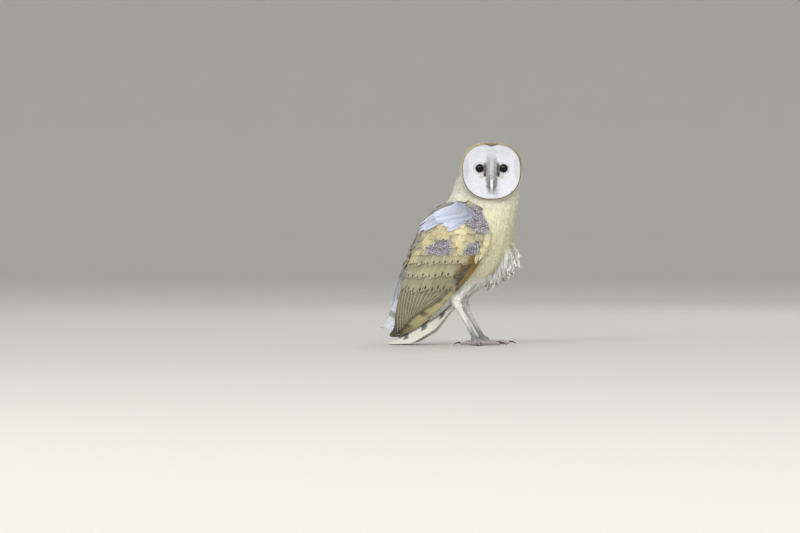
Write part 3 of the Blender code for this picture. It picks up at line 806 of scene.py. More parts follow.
def plumage(points, owner):
    """Colour and marks for points that lie on the nodes named in owner."""
    tint = np.zeros((len(points), 3))
    marks = np.zeros((len(points), 2))
    kinds = np.array([name.split("_")[0] for name in owner])
    across, up, forward = face_measures(points)
    face = on_face(across, up, forward)

    def put(chosen, made):
        tint[chosen], marks[chosen] = made

    head = kinds == "head"
    put(head & face, face_plumage(across[head & face], up[head & face]))
    hood = (head & ~face) | (kinds == "neck")
    put(hood, hood_plumage(points[hood]))
    body = kinds == "trunk"
    put(body, body_plumage(points[body]))
    for side, word in SIDES:
        wing = np.array([name == "wing_" + word for name in owner])
        put(wing, wing_plumage(*WINGS[side].measures(points[wing])))
    legs = np.isin(kinds, ("thigh", "shank"))
    put(legs, leg_plumage(points[legs]))
    toes = np.isin(kinds, ("foot", "toe"))
    tint[toes] = TOE_GREY
    return tint, marks


def on_face(across, up, forward, most=1.0):
    """Whether places lie on the front of the facial disc."""
    share = disc_share(across, up)
    return (share < most) & (forward > RIM_AHEAD - np.where(share < 0.85, 20, 12))


# ---- the skin ----


DEPTH_EASING = 12       # passes that blend the coat's depth from part to part


def flesh(name, nodes):
    """The solids of the nodes, grown so that they meet, as one loose mesh."""
    bm = joined_nodes(*nodes)
    bm.normal_update()
    for vertex in bm.verts:
        vertex.co += vertex.normal * SKIN_SWELL * MM
    return smooth_mesh(bm, name)


def owners_of(points, tree, owner):
    """The node that each point lies nearest to."""
    return [owner[tree.find_nearest(Vector(p))[2]] for p in points]


def coat_depth(points, owner):
    """How deep the skin lies under each point of the solids, in millimetres."""
    kinds = [name.split("_")[0] for name in owner]
    depth = np.array([DEPTH[kind] for kind in kinds])
    across, up, forward = face_measures(points)
    face = on_face(across, up, forward) & np.array([k == "head" for k in kinds])
    return np.where(face, FACE_DEPTH, depth)


def make_skin():
    """One closed skin through all the flesh, pulled in under the coat."""
    nodes = SKIN_NODES + ["eye_left", "eye_right", "bill_upper"]
    rough = new_piece("skin_rough", flesh("skin_rough", nodes), SKIN)
    remesh = rough.modifiers.new("one surface", "REMESH")
    remesh.mode = "VOXEL"
    remesh.voxel_size = SKIN_VOXEL * MM
    smooth = rough.modifiers.new("soft", "SMOOTH")
    smooth.iterations = 5
    smooth.factor = 0.5
    mesh = applied_mesh(rough)
    bpy.data.objects.remove(rough)

    tree, owner = tree_of(SKIN_NODES)
    points = coordinates(mesh)
    owners = owners_of(points, tree, owner)
    depth = (coat_depth(points, owners) + SKIN_SWELL) * MM
    edges = read(mesh.edges, "vertices", 2, int)
    for _ in range(DEPTH_EASING):
        total = np.zeros(len(depth))
        count = np.zeros(len(depth))
        for a, b in (edges.T, edges.T[::-1]):
            np.add.at(total, a, depth[b])
            np.add.at(count, a, 1)
        depth = 0.5 * depth + 0.5 * total / np.maximum(count, 1)
    points = points - vertex_normals(mesh) * depth[:, None]
    mesh.vertices.foreach_set("co", points.ravel())
    mesh.update()
    tint, _ = plumage(points, owners)
    paint(mesh, "plume", tint)
    mesh.shade_smooth()
    mesh.materials.clear()
    return new_piece("skin", mesh, SKIN), owners


def unwrap(piece):
    """An unwrap of the piece's own shape, kept as the map OFBake."""
    piece.data.uv_layers.new(name="OFBake")
    bpy.context.view_layer.objects.active = piece
    piece.select_set(True)
    bpy.ops.object.mode_set(mode="EDIT")
    bpy.ops.mesh.select_all(action="SELECT")
    bpy.ops.uv.smart_project(angle_limit=math.radians(66), island_margin=0.002)
    bpy.ops.object.mode_set(mode="OBJECT")
    piece.select_set(False)


skin, skin_owner = make_skin()
unwrap(skin)
dressed(skin, "plumage_white", *SKIN_NODES)


TRIES = 7               # for each root that there is room for
# From a cell of a grid to itself and to the 26 round it.
HOPS = [(i, j, k) for i in (-1, 0, 1) for j in (-1, 0, 1) for k in (-1, 0, 1)]


class Ground:
    """The skin as feathers find it: nearest points, faces to root in, and their places."""

    def __init__(self, piece, vertex_owner):
        mesh = piece.data
        faces = [list(p.vertices) for p in mesh.polygons]
        self.tree = BVHTree.FromPolygons([Vector(p) for p in coordinates(mesh)], faces)
        self.owner = [vertex_owner[face[0]] for face in faces]
        starts = read(mesh.polygons, "loop_start", 1, int)
        self.uv = read(mesh.uv_layers["OFBake"].data, "uv", 2)[starts]
        self.area = read(mesh.polygons, "area")
        self.centre = read(mesh.polygons, "center", 3)
        self.normal = read(mesh.polygons, "normal", 3)

    def scatter(self, faces, spacing):
        """Roots spread over the faces, none nearer to another than about the spacing."""
        gap = spacing * MM
        tries = int(self.area[faces].sum() / gap ** 2 * TRIES)
        chance = self.area[faces] / self.area[faces].sum()
        picked = rng.choice(faces, size=tries, p=chance)
        jitter = (rng.random((tries, 3)) - 0.5) * SKIN_VOXEL * MM
        spots = self.centre[picked] + jitter
        kept, cells = [], {}
        for i, (x, y, z) in enumerate(np.floor(spots / gap).astype(int).tolist()):
            near = [j for a, b, c in HOPS for j in cells.get((x + a, y + b, z + c), ())]
            gone = spots[i] - spots[near]
            if not ((gone * gone).sum(axis=1) < gap * gap).any():
                cells.setdefault((x, y, z), []).append(i)
                kept.append(i)
        return spots[kept], picked[kept]


ground = Ground(skin, skin_owner)


# ---- feather making ----


def vane_grid(columns, rows, full):
    """A flat grid: its points as shares across and along, and its faces.

    Its rows are closer together where the tip narrows.
    """
    bm = bmesh.new()
    bmesh.ops.create_grid(bm, x_segments=columns, y_segments=rows, size=0.5)
    points = np.array([v.co[:2] for v in bm.verts]) + 0.5
    points[:, 1] = np.interp(points[:, 1], (0, 0.6, 1), (0, full, 1))
    faces = np.array([[v.index for v in f.verts] for f in bm.faces])
    bm.free()
    return points, faces


ROOT_WIDTH = 0.30       # of the full width
WIDE_FROM = 0.42        # along a vane, where it has its full width


def vane_width(along, pointed, full):
    """Half width of a vane along it: narrow root, full middle, round or pointed tip."""
    root = ROOT_WIDTH + (1 - ROOT_WIDTH) * step(along, 0.0, WIDE_FROM)
    tip = np.sqrt(np.clip(1 - ((along - full) / (1.005 - full)) ** 2, 0, 1))
    tip = np.where(along < full, 1.0, tip ** (1.0 + pointed))
    return root * tip


def side_of(course, facing):
    """Unit directions across vanes that run along a course and face outwards."""
    return unit(np.cross(unit(course), facing))


class Tract:
    """Feathers of one kind: where their centre lines run, and how they look."""

    RAGGED_FROM = 0.8           # along a vane
    EACH = ("lines", "normals", "length", "width", "tint", "marks", "root_uv", "rise")

    def __init__(self, lines, normals, length, width, tint, marks, root_uv, rise,
                 camber=0.12, pointed=0.2, ragged=0.06, sink=0.0, softness=0.7,
                 full=0.55):
        self.lines = lines              # n x stations x 3
        self.normals = normals          # the skin's directions along them
        self.length = np.asarray(length, float)
        self.width = np.asarray(width, float)
        self.tint = tint
        self.marks = marks
        self.root_uv = root_uv
        self.rise = np.asarray(rise, float)     # how far the tip stands off the skin
        self.camber = camber            # how much the sides curl down, of the width
        self.pointed = pointed
        self.ragged = ragged
        self.sink = sink                # how far the root lies under the skin
        self.softness = softness        # share of the skin's own facing in the shading
        self.full = full                # where the tip begins to narrow

    def some(self, chosen):
        """A tract of some of the feathers."""
        fewer = copy.copy(self)
        for name in self.EACH:
            setattr(fewer, name, getattr(self, name)[chosen])
        return fewer

    def vertices(self, grid):
        """Every vane's points, n x points x 3."""
        count, stations = self.lines.shape[:2]
        across, along = grid[:, 0] * 2 - 1, grid[:, 1]
        side = side_of(np.gradient(self.lines, axis=1), self.normals)
        at = along * (stations - 1)
        low = np.minimum(at.astype(int), stations - 2)
        part = (at - low)[None, :, None]

        def along_line(values):
            return values[:, low] * (1 - part) + values[:, low + 1] * part

        # points near a tip end a little sooner or later, so that it is ragged
        near_tip = (along > self.RAGGED_FROM)[None]
        cut = 1 - self.ragged * rng.random((count, len(grid))) * near_tip
        centre = along_line(self.lines)
        if self.ragged:
            root = self.lines[:, :1]
            centre = root + (centre - root) * cut[..., None]
        half = self.width[:, None] / 2 * vane_width(along, self.pointed, self.full)[None]
        height = self.rise[:, None] * along[None] - self.sink * (1 - along)[None]
        height = height - self.camber * self.width[:, None] * (across ** 2)[None]
        self.facing = along_line(self.normals)
        return (centre + along_line(side) * (half * across)[..., None]
                + self.facing * height[..., None])

    def colours(self, grid):
        """The colour and the two marks of every vertex."""
        return [np.repeat(values, len(grid), axis=0) for values in (self.tint, self.marks)]

    def far(self, grid):
        """Millimetres from the tip."""
        back = 1 - np.tile(grid[:, 1], len(self.length))
        return np.repeat(self.length, len(grid)) / MM * back


class Drawn(Tract):
    """Feathers drawn on a sheet: their shafts are lines of u and w, in millimetres."""

    RAGGED_FROM = 0.85

    def __init__(self, sheet, shafts, width, low, high, tint, marks, paint_at=None,
                 skew=0.0, far_from=None, over=0.6, **shape):
        self.sheet = sheet
        self.shafts = np.asarray(shafts, float)
        self.low, self.high = np.asarray(low, float), np.asarray(high, float)
        self.skew = np.broadcast_to(skew, len(self.shafts)).astype(float)
        self.paint_at = paint_at
        self.far_from = far_from
        self.over = over                # how far a vane may reach past the solids' edge
        hops = np.linalg.norm(np.diff(self.shafts, axis=1), axis=2)
        nothing = np.zeros((len(self.shafts), 2))
        super().__init__(self.shafts, None, hops.sum(axis=1) * MM,
                         np.asarray(width, float) * MM, np.asarray(tint),
                         np.asarray(marks), nothing, nothing[:, 0], **shape)

    def vertices(self, grid):
        across, along = grid[:, 0] * 2 - 1, grid[:, 1]
        stations = self.shafts.shape[1]
        at = along * (stations - 1)
        low = np.minimum(at.astype(int), stations - 2)
        part = (at - low)[None, :, None]
        course = np.gradient(self.shafts, axis=1)
        course /= np.linalg.norm(course, axis=2, keepdims=True)
        centre, course = [values[:, low] * (1 - part) + values[:, low + 1] * part
                          for values in (self.shafts, course)]
        hand = self.sheet.hand
        side = np.stack([-course[..., 1], course[..., 0]], axis=2) * hand
        half = vane_width(along, self.pointed, self.full)[None]
        half = self.width[:, None] / MM / 2 * half
        reach = across[None] * (1 + self.skew[:, None] * hand * np.sign(across)[None])
        flat = centre + side * (half * reach)[..., None]
        flat += course * (self.ragged * self.width[:, None] / MM
                          * rng.normal(0, 1, flat.shape[:2])
                          * (along > self.RAGGED_FROM))[..., None]
        low_edge, high_edge = self.sheet.edges(flat[..., 0])
        flat[..., 1] = np.clip(flat[..., 1], low_edge - self.over, high_edge + self.over)
        spot, facing = self.sheet.at(flat[..., 0], flat[..., 1])
        self.facing = facing
        height = self.low[:, None] + (self.high - self.low)[:, None] * along[None]
        height = height - self.camber * half * (across ** 2)[None]
        self.flat = flat
        self.spot = spot + facing * (height * MM)[..., None]
        return self.spot

    def colours(self, grid):
        if self.paint_at is None:
            return super().colours(grid)
        return self.paint_at(self, grid)

    def far(self, grid):
        """Millimetres from the line that the bars are counted from."""
        if self.far_from is None:
            return super().far(grid)
        return self.far_from - self.flat[..., 0].reshape(-1)


BAKE_PATCH = 0.003      # the side of a small vane's patch in the OFBake map
BAKE_EDGE = 0.002       # its middle stays this far inside the map
ATLAS_MARGIN = 0.04     # round a large vane's cell there
MOST_TRIANGLES = 190000     # in one piece


def vanes_mesh(name, tract, columns, rows, atlas=None):
    """All of a tract's vanes as one mesh, with their maps and attributes."""
    grid, faces = vane_grid(columns, rows, tract.full)
    count = len(tract.lines)
    points = tract.vertices(grid).reshape(-1, 3)
    loops = (faces[None] + (np.arange(count) * len(grid))[:, None, None]).reshape(-1)
    mesh = bpy.data.meshes.new(name)
    mesh.vertices.add(len(points))
    mesh.vertices.foreach_set("co", points.ravel())
    mesh.loops.add(len(loops))
    mesh.loops.foreach_set("vertex_index", loops)
    mesh.polygons.add(len(loops) // 4)
    mesh.polygons.foreach_set("loop_start", np.arange(0, len(loops), 4))
    mesh.update(calc_edges=True)
    mesh.shade_smooth()

    def each(values):
        return np.repeat(values, len(grid), axis=0)

    if tract.softness:
        own = vertex_normals(mesh)
        soft = own * (1 - tract.softness) + tract.facing.reshape(-1, 3) * tract.softness
        mesh.normals_split_custom_set_from_vertices(unit(soft))
    tint, marks = tract.colours(grid)
    paint(mesh, "plume", tint)
    paint(mesh, "marks", np.hstack([marks, each(rng.random((count, 1)))]))
    spot = np.tile(grid, (count, 1))
    write_map(mesh, "Vane", spot, loops)
    if atlas:
        reach = np.stack([(spot[:, 0] - 0.5) * each(tract.width) / MM, tract.far(grid)], 1)
        write_map(mesh, "Reach", reach, loops)
        cells = np.stack([np.arange(count) % atlas, np.arange(count) // atlas], 1)
        places = (each(cells) + ATLAS_MARGIN + (1 - 2 * ATLAS_MARGIN) * spot) / atlas
        write_map(mesh, "OFBake", places * (1, UPPER_HALF), loops)
    else:
        middles = np.clip(each(tract.root_uv), BAKE_EDGE, 1 - BAKE_EDGE)
        write_map(mesh, "OFBake", (spot - 0.5) * BAKE_PATCH + middles, loops)
    return mesh


def write_map(mesh, name, spots, loops):
    """Stores a UV map, given a place for each vertex."""
    layer = mesh.uv_layers.new(name=name)
    layer.data.foreach_set("uv", spots[loops].astype(np.float32).ravel())


def coat(name, tract, columns=2, rows=5, slot="plumage_white"):
    """Dresses a tract, in as many pieces as the limit on triangles asks."""
    most = MOST_TRIANGLES // (columns * rows * 2)
    count = len(tract.lines)
    for first in range(0, count, most):
        title = name if count <= most else f"{name}_{first // most + 1}"
        mesh = vanes_mesh(title, tract.some(slice(first, first + most)), columns, rows)
        dressed(new_piece(title, mesh, SOFT_FEATHER), slot)


LINE_STATIONS = 5       # points along a feather's centre line


def lay(roots, directions, lengths, free, loose, stiff):
    """Centre lines that follow the skin from each root along its direction.

    Where free is given, a loose feather leaves the skin and turns towards it, and a
    stiff one is straight from its root.
    """
    lines = np.zeros((len(roots), LINE_STATIONS, 3))
    normals = np.zeros_like(lines)
    for i, length in enumerate(lengths):
        way = Vector(directions[i])
        spot, hop = Vector(roots[i]), 0.0
        for k in range(LINE_STATIONS):
            spot, normal, _, _ = ground.tree.find_nearest(spot + way * hop)
            way = (way - normal * way.dot(normal)).normalized()
            lines[i, k], normals[i, k] = spot, normal
            hop = length / (LINE_STATIONS - 1)
    if free is not None:
        loose, stiff = loose[:, None, None], stiff[:, None, None]
        away = np.linspace(0, 1, LINE_STATIONS)[None, :, None]
        course = unit(unit(lines[:, 1:2] - lines[:, :1]) * (1 - loose)
                      + np.asarray(free)[None, None] * loose)
        straight = lines[:, :1] + course * (lengths[:, None, None] * away)
        share = loose * step(away, 0.1, 0.8)
        share = share + (1 - share) * stiff
        lines = lines * (1 - share) + straight * share
        normals = normals * (1 - stiff) + normals[:, :1] * stiff
    return lines, unit(normals)


def jittered(directions, normals, degrees):
    """Directions turned a little, each its own way, about the skin's normal."""
    turn = np.radians(rng.normal(0, degrees, len(directions)))[:, None]
    side = np.cross(normals, directions)
    return directions * np.cos(turn) + side * np.sin(turn)


def around(values, spread):
    """Each value made a little larger or smaller."""
    return values * (1 + spread * rng.uniform(-1, 1, len(values)))


# How much feathers of one tract differ from each other.
LENGTH_SPREAD = 0.14
WIDTH_SPREAD = 0.12
RISE_SPREAD = 0.15


def sized(value, points):
    """A size at each point: the value is a number, or a function of the points."""
    return value(points) if callable(value) else np.full(len(points), float(value))


def on(*nodes):
    """A test for faces of the skin that lie on some CAD nodes."""
    return lambda owner, centre, normal: np.isin(owner, nodes)


def grow(name, test, spacing, length, width, flow, rise, columns=2, rows=5, turn=7,
         free=None, loose=0, stiff=0, keep=None, slot="plumage_white",
         painter=None, **shape):
    """Scatters one tract of contour feathers over the skin and dresses it.

    A face of the skin belongs to the tract where its owner, place and outward direction
    pass the test.  Sizes and looseness, in millimetres and shares, may depend on the root.
    """
    faces = np.nonzero(test(np.array(ground.owner), ground.centre, ground.normal))[0]
    roots, picked = ground.scatter(faces, spacing)
    directions = jittered(unit(flow(roots)), ground.normal[picked], turn)
    lengths = around(sized(length, roots) * MM, LENGTH_SPREAD)
    widths = around(sized(width, roots) * MM, WIDTH_SPREAD)
    lines, normals = lay(roots, directions, lengths, free, sized(loose, roots),
                         sized(stiff, roots))
    if keep:
        kept = keep(lines)
        lines, normals, roots = lines[kept], normals[kept], roots[kept]
        lengths, widths, picked = lengths[kept], widths[kept], picked[kept]
    if painter:
        tint, marks = painter(roots)
    else:
        tint, marks = plumage(roots, [ground.owner[i] for i in picked])
    tract = Tract(lines, normals, lengths, widths, tint, marks, ground.uv[picked],
                  around(sized(rise, roots) * MM, RISE_SPREAD), **shape)
    coat(name, tract, columns, rows, slot)


# ---- the head ----


def is_face(owner, centre, normal):
    """The front of the disc, a little inside its edge."""
    across, up, forward = face_measures(centre)
    return ((owner == "head") & on_face(across, up, forward)
            & (disc_share(across, up) < 0.965) & (normal @ np.array(FACING) > 0.15))


def clear_of_eyes(centre):
    """Outside the open eyes and their lids."""
    across, up, _ = face_measures(centre)
    return np.hypot(np.abs(across) - EYE_ASIDE, up - EYE_UP) > 6.0


def face_flow(points):
    """Out from the eyes over the disc, and down the ridge between them."""
    across, up, _ = face_measures(points)
    side = np.sign(across)
    from_eye = unit(np.stack([across - side * EYE_ASIDE, up - EYE_UP], 1))
    from_middle = unit(np.stack([across, up + 4], 1))
    share = step(disc_share(across, up), 0.35, 0.9)[:, None]
    way = from_eye * (1 - share) + from_middle * share
    ridge = ((1 - step(np.abs(across), 5, 11)) * (1 - step(up, 20, 32)))[:, None]
    down = np.stack([side * 0.30, np.full(len(side), -0.95)], 1)
    way = way * (1 - ridge) + down * ridge
    return way[:, :1] * np.array(ACROSS) + way[:, 1:] * np.array(UP)


def beside_bill(centre):
    """Close to the bill's root, on both sides."""
    across, up, _ = face_measures(centre)
    return (np.abs(across) < 6.5) & (up > -20) & (up < 2)


def bristle_flow(points):
    """Down both sides of the bill."""
    across, _, _ = face_measures(points)
    side = (np.sign(across) * 0.16)[:, None]
    return side * np.array(ACROSS) - np.array(UP) + 0.15 * np.array(FACING)


def head_flow(points):
    """Back over the crown, and down the nape, the cheeks and the throat."""
    _, up, forward = face_measures(points)
    sweep = 0.25 + 0.9 * step(forward, 15, -40)
    sweep = np.maximum(sweep, step(up, 5, -35))[:, None]
    return -np.array(FACING) * (1.05 - sweep * 0.6) - np.array(UP) * sweep


def body_flow(points):
    """From the neck towards the tail, steeper on the breast than on the belly."""
    z = points[:, 2] / MM
    lean = (0.12 + 0.55 * step(z, 175, 95))[:, None]
    return np.array((-1.0, 0, 0)) * lean + np.array((0, 0, -1.0))


def leg_flow(points):
    """Down the thigh to the heel, then down the shank to the toes."""
    z = points[:, 2] / MM
    thigh = np.array((-0.45, 0, -0.89))
    shank = np.array((0.42, 0, -0.90))
    share = step(z, 74, 62)[:, None]
    return thigh * (1 - share) + shank * share


def toe_flow(points):
    """Outwards along the toes."""
    side = np.where(points[:, 1] > 0, 1.0, -1.0)
    out = points - np.stack([np.full(len(side), FEET.x), side * abs(middle("foot_left").y),
                             np.zeros(len(side))], 1)
    return unit(out) * np.array((1, 1, 0.2)) + np.array((0, 0, -0.15))


def wing_flow(points):
    """Towards the wing's tip."""
    way = np.zeros((len(points), 3))
    for side, _ in SIDES:
        mine = points[:, 1] * side > 0
        way[mine] = WINGS[side].axis
    return way


# Rows of the ruff: distance behind the rim, lean from straight outwards to straight
# back in degrees, how far past the white its tips show, and how many feathers.
RUFF_ROWS = (
    (1.7, 48, 0.55, 400),
    (2.6, 60, 2.2, 330),
    (4.4, 70, 3.0, 270),
    (6.4, 76, 3.4, 240),
    (8.8, 80, 3.6, 220),
)
RUFF_FRONT = 2          # so many rows grow from just inside the disc's edge:
RUFF_INSET = 0.5        # by this much
RUFF_START = 54         # rays to find the other rows' roots start this far from the axis
RUFF_SHORTEST = 1.2
RUFF_LONGEST = 12
RUFF_WIDTH = 1.5
RUFF_RISE = 0.3
RUFF_SPREAD = 0.06      # how much their lengths differ
RUFF_TURN = 3           # and their directions, in degrees
RUFF_LEAST = 0.85       # of the disc's radius: no feather roots further in
RUFF_STATIONS = 4       # points along a centre line


def disc_edge(angle):
    """The radius of the white disc in millimetres, at an angle round the face."""
    c, s = math.cos(angle), math.sin(angle)
    reach = np.array([1.0])
    for _ in range(6):
        share = disc_share(reach * c, reach * s)
        reach = reach / share
    return float(reach[0])


def ruff_colour(row, angle):
    """Gold over the brow and a fine brown line under the chin; buff and cream behind."""
    aside, high = math.cos(angle), float(step(math.sin(angle), -0.35, 0.45))
    # browner towards the bird's left, and dark where the crown dips
    gold = RIM_GOLD * (1 - 0.35 * float(step(aside, 0.1, 0.9)))
    gold = gold * (1 - 0.72 * float(step(abs(aside), 0.34, 0.14)))
    if row == 0:
        return gold * high + RIM_BROWN * (1 - high)
    if row == 1:
        return gold * 1.1 * high + NAPE_CREAM * 0.9 * (1 - high)
    return CROWN_BUFF * high * 0.85 + NAPE_CREAM * (1 - high)


def ruff_root(rim, out, row, back, edge):
    """Where a feather of the ruff grows: its point and face on the skin, and radius."""
    start = rim - FACING * back * MM
    if row < RUFF_FRONT:
        radius = edge - RUFF_INSET
        spot = start + out * radius * MM
        return spot, ground.tree.find_nearest(spot)[2], radius
    spot, normal, face, gone = ground.tree.ray_cast(start + out * (RUFF_START * MM), -out)
    if spot is None or normal.dot(out) < 0.05 or normal.dot(FACING) > 0.8:
        return None
    radius = (RUFF_START * MM - gone) / MM
    return (spot, face, radius) if radius >= RUFF_LEAST * edge else None


def make_ruff():
    """The stiff rim of the facial disc: close rows of short feathers."""
    rim = HEAD + FACING * (RIM_AHEAD * MM)
    roots, ways, tints, uvs, lengths = [], [], [], [], []
    for row, (back, lean, past, count) in enumerate(RUFF_ROWS):
        lean = math.radians(lean)
        for i in range(count):
            angle = 2 * math.pi * (i + 0.5 * (row % 2)) / count
            out = ACROSS * math.cos(angle) + UP * math.sin(angle)
            edge = disc_edge(angle)
            found = ruff_root(rim, out, row, back, edge)
            if found is None:
                continue
            spot, face, radius = found
            long = max(edge + past - radius, RUFF_SHORTEST) / math.cos(lean)
            roots.append(tuple(spot))
            ways.append(tuple(out * math.cos(lean) - FACING * math.sin(lean)))
            uvs.append(ground.uv[face])
            lengths.append(min(long, RUFF_LONGEST) * MM)
            tints.append(ruff_colour(row, angle))
    roots, ways = np.array(roots), np.array(ways)
    lengths = around(np.array(lengths), RUFF_SPREAD)
    outward = unit(roots - np.array(rim))
    ways = jittered(ways, outward, RUFF_TURN)
    reach = np.linspace(0, 1, RUFF_STATIONS)[None, :, None] * lengths[:, None, None]
    lines = roots[:, None] + ways[:, None] * reach
    facing = unit(np.repeat((np.array(FACING) + outward)[:, None], RUFF_STATIONS, axis=1))
    count = len(roots)
    tract = Tract(lines, facing, lengths, np.full(count, RUFF_WIDTH * MM), np.array(tints),
                  np.zeros((count, 2)), np.array(uvs), np.full(count, RUFF_RISE * MM),
                  camber=0.10, pointed=0.0)
    coat("ruff_feathers", tract, rows=4)


def in_the_notch(owner, centre, normal):
    """Where the crown dips between the two halves of the disc."""
    across, up, forward = face_measures(centre)
    return ((owner == "head") & (np.abs(across) < 14) & (up > 30) & (forward > -5)
            & (normal @ np.array(FACING) > 0.3))


def behind_the_rim(centre):
    """The hood: all of the head but the disc, its rim and the strip of the ruff."""
    across, up, forward = face_measures(centre)
    behind = ~on_face(across, up, forward, most=1.04) & (forward < RIM_AHEAD - 3.5)
    return behind | (up < -47)


def disc_length(points):
    """Face feathers stop short of the disc's edge, so that it stays crisp."""
    across, up, _ = face_measures(points)
    room = (0.995 - disc_share(across, up)) * FACE_WIDE
    return np.clip(room, 1.2, 5.0)


def outside_the_disc(centre):
    """Seen from the front, beyond the disc's edge."""
    across, up, _ = face_measures(centre)
    return disc_share(across, up) > 1.07


def clear_of_face(lines):
    """Which centre lines never come onto the front of the disc."""
    across, up, forward = face_measures(lines.reshape(-1, 3))
    over = (disc_share(across, up) < 1.0) & (forward > RIM_AHEAD - 3.0)
    return ~over.reshape(len(lines), -1).any(axis=1)


def cheek_rise(points):
    """Feathers stand off a little more where the hood bulges behind the right cheek."""
    across, up, _ = face_measures(points)
    return 1.6 + 2.6 * step(across, -20, -38) * step(np.abs(up + 4), 28, 10)


def on_the_crest(points):
    """The fold of the crown above the notch, where long feathers would crumple."""
    across, up, forward = face_measures(points)
    return (np.abs(across) < 30) & (up > 32) & (forward > RIM_AHEAD - 13)


def make_head():
    grow("face_feathers",
         lambda o, c, n: (is_face(o, c, n) | in_the_notch(o, c, n)) & clear_of_eyes(c),
         0.82, disc_length, 0.75, face_flow, 0.7, columns=1, rows=3,
         pointed=0.8, ragged=0.1, sink=0.2 * MM)
    grow("bill_bristles",
         lambda o, c, n: is_face(o, c, n) & beside_bill(c),
         0.95, 8.0, 0.55, bristle_flow, 1.8, columns=1, rows=4,
         turn=9, pointed=1.0, ragged=0.0)
    grow("head_feathers",
         lambda o, c, n: ((o == "head") & behind_the_rim(c) & ~on_the_crest(c)
                          & ((n @ np.array(FACING) < 0.7) | outside_the_disc(c))),
         2.0, 10.5, 3.4, head_flow, cheek_rise, rows=4,
         keep=clear_of_face, painter=hood_plumage, pointed=0.45, ragged=0.12, camber=0.06)
    make_ruff()


# ---- body and legs ----


def hanging(points):
    """How loosely the feathers of the lower breast and belly hang."""
    x, _, z = from_feet(points)
    low = step(z, 165, 128) * step(x, 8, 30)
    return 0.04 + 0.25 * low * rng.random(len(x))


# The hem of the hanging feathers: ahead of the feet, seen along the side, and height.
HEM_AHEAD = (-30, -9, 5, 28, 52, 64)
HEM_HEIGHT = (68, 70, 90, 97, 111, 125)


def above_the_hem(points):
    """How far above the hem of the breast's hanging feathers, in millimetres."""
    ahead, y, z = from_feet(points)
    return z - np.interp(ahead * ACROSS.x + y * ACROSS.y, HEM_AHEAD, HEM_HEIGHT)


def tuft_length(points):
    """As long as ends a tuft at the hem, within reason."""
    return np.clip(above_the_hem(points) / 0.9, 5, 28)


def on_low_breast(centre, normal):
    """The front of the lower breast, between the edges of the wings."""
    x, y, z = from_feet(centre)
    front = (x > 6) & (z < 168) & (np.abs(y) < 30)
    return front & (x > 52 - (170 - z) * 0.42) & (normal[:, 0] * 0.8 - normal[:, 2] > 0.1)


def falling(lines):
    """Which straight lines go mostly down, whatever the skin does at their roots."""
    way = unit(lines[:, -1] - lines[:, 0])
    return way[:, 2] < -0.55


def tuft_plumage(points):
    """The breast's own colour at the top, turning white."""
    tint, marks = body_plumage(points)
    share = 0.5 + 0.5 * step(points[:, 2] / MM, 162, 142)
    return mixed(tint, TUFT_WHITE, share), marks * 0


def round_the_vent(centre):
    """The rear end of the belly, in front of the tail's root."""
    x, y, z = from_feet(centre)
    return (x < -14) & (z < 92) & (np.abs(y) < 34)


def tail_flow(points):
    """Back and down, the way the tail goes."""
    return np.tile((-0.86, 0.0, -0.5), (len(points), 1))


def all_white(points):
    """Plain white, without marks."""
    return np.tile(TUFT_WHITE, (len(points), 1)), np.zeros((len(points), 2))


def make_body():
    grow("neck_feathers", on("neck"),
         1.9, 15, 3.6, body_flow, 1.3, rows=4,
         slot="plumage_buff", keep=clear_of_face, pointed=0.5, ragged=0.14, camber=0.06)
    grow("trunk_feathers",
         lambda o, c, n: (o == "trunk") & ~on_low_breast(c, n),
         2.1, lambda p: 18 + 5 * step(p[:, 2] / MM, 150, 110), 3.9, body_flow,
         1.4, rows=4, free=(-0.05, 0, -1.0), loose=hanging,
         slot="plumage_buff", pointed=0.6, ragged=0.16, camber=0.06)
    grow("belly_tufts",
         lambda o, c, n: (o == "trunk") & on_low_breast(c, n) & (above_the_hem(c) > 4),
         2.6, tuft_length, 5.2, body_flow, 2.4, rows=6, keep=falling,
         free=(0.05, 0, -1.0), loose=lambda p: rng.uniform(0.15, 0.7, len(p)),
         stiff=1, painter=tuft_plumage, pointed=0.9, ragged=0.08, softness=0.6)
    grow("belly_hem_feathers",
         lambda o, c, n: ((o == "trunk") & (above_the_hem(c) < 18) & (n[:, 2] < -0.15)
                          & ~round_the_vent(c)),
         2.4, 11, 4.0, body_flow, 1.6, rows=5, free=(-0.2, 0, -1.0),
         loose=lambda p: rng.uniform(0.0, 0.3, len(p)), stiff=1, painter=all_white,
         keep=falling, pointed=0.7, ragged=0.12, softness=0.6)
    grow("vent_feathers", lambda o, c, n: (o == "trunk") & round_the_vent(c),
         2.6, 22, 4.4, tail_flow, 1.5, rows=5,
         painter=all_white, pointed=0.5, ragged=0.12)
    for _, word in SIDES:
        grow("shoulder_feathers_" + word, on("wing_" + word),
             4.6, 15, 7.5, wing_flow, 1.0, slot="plumage_golden")
        grow("thigh_feathers_" + word, on("thigh_" + word),
             2.5, 13, 4, leg_flow, 2.2, pointed=0.7, ragged=0.15)
        grow("shank_feathers_" + word, on("shank_" + word),
             1.2, 7.0, 1.2, leg_flow, 0.6, rows=3, pointed=0.9,
             ragged=0.15, camber=0.05)
        feet = ["foot_" + word] + [f"toe_{toe}_{word}" for toe in TOES]
        grow("toe_bristles_" + word,
             lambda o, c, n: np.isin(o, feet) & (n[:, 2] > 0.1),
             1.7, 3.4, 0.45, toe_flow, 0.5, columns=1, rows=3,
             slot="toe_skin", pointed=1.0, turn=14)


# ---- wing feathers ----


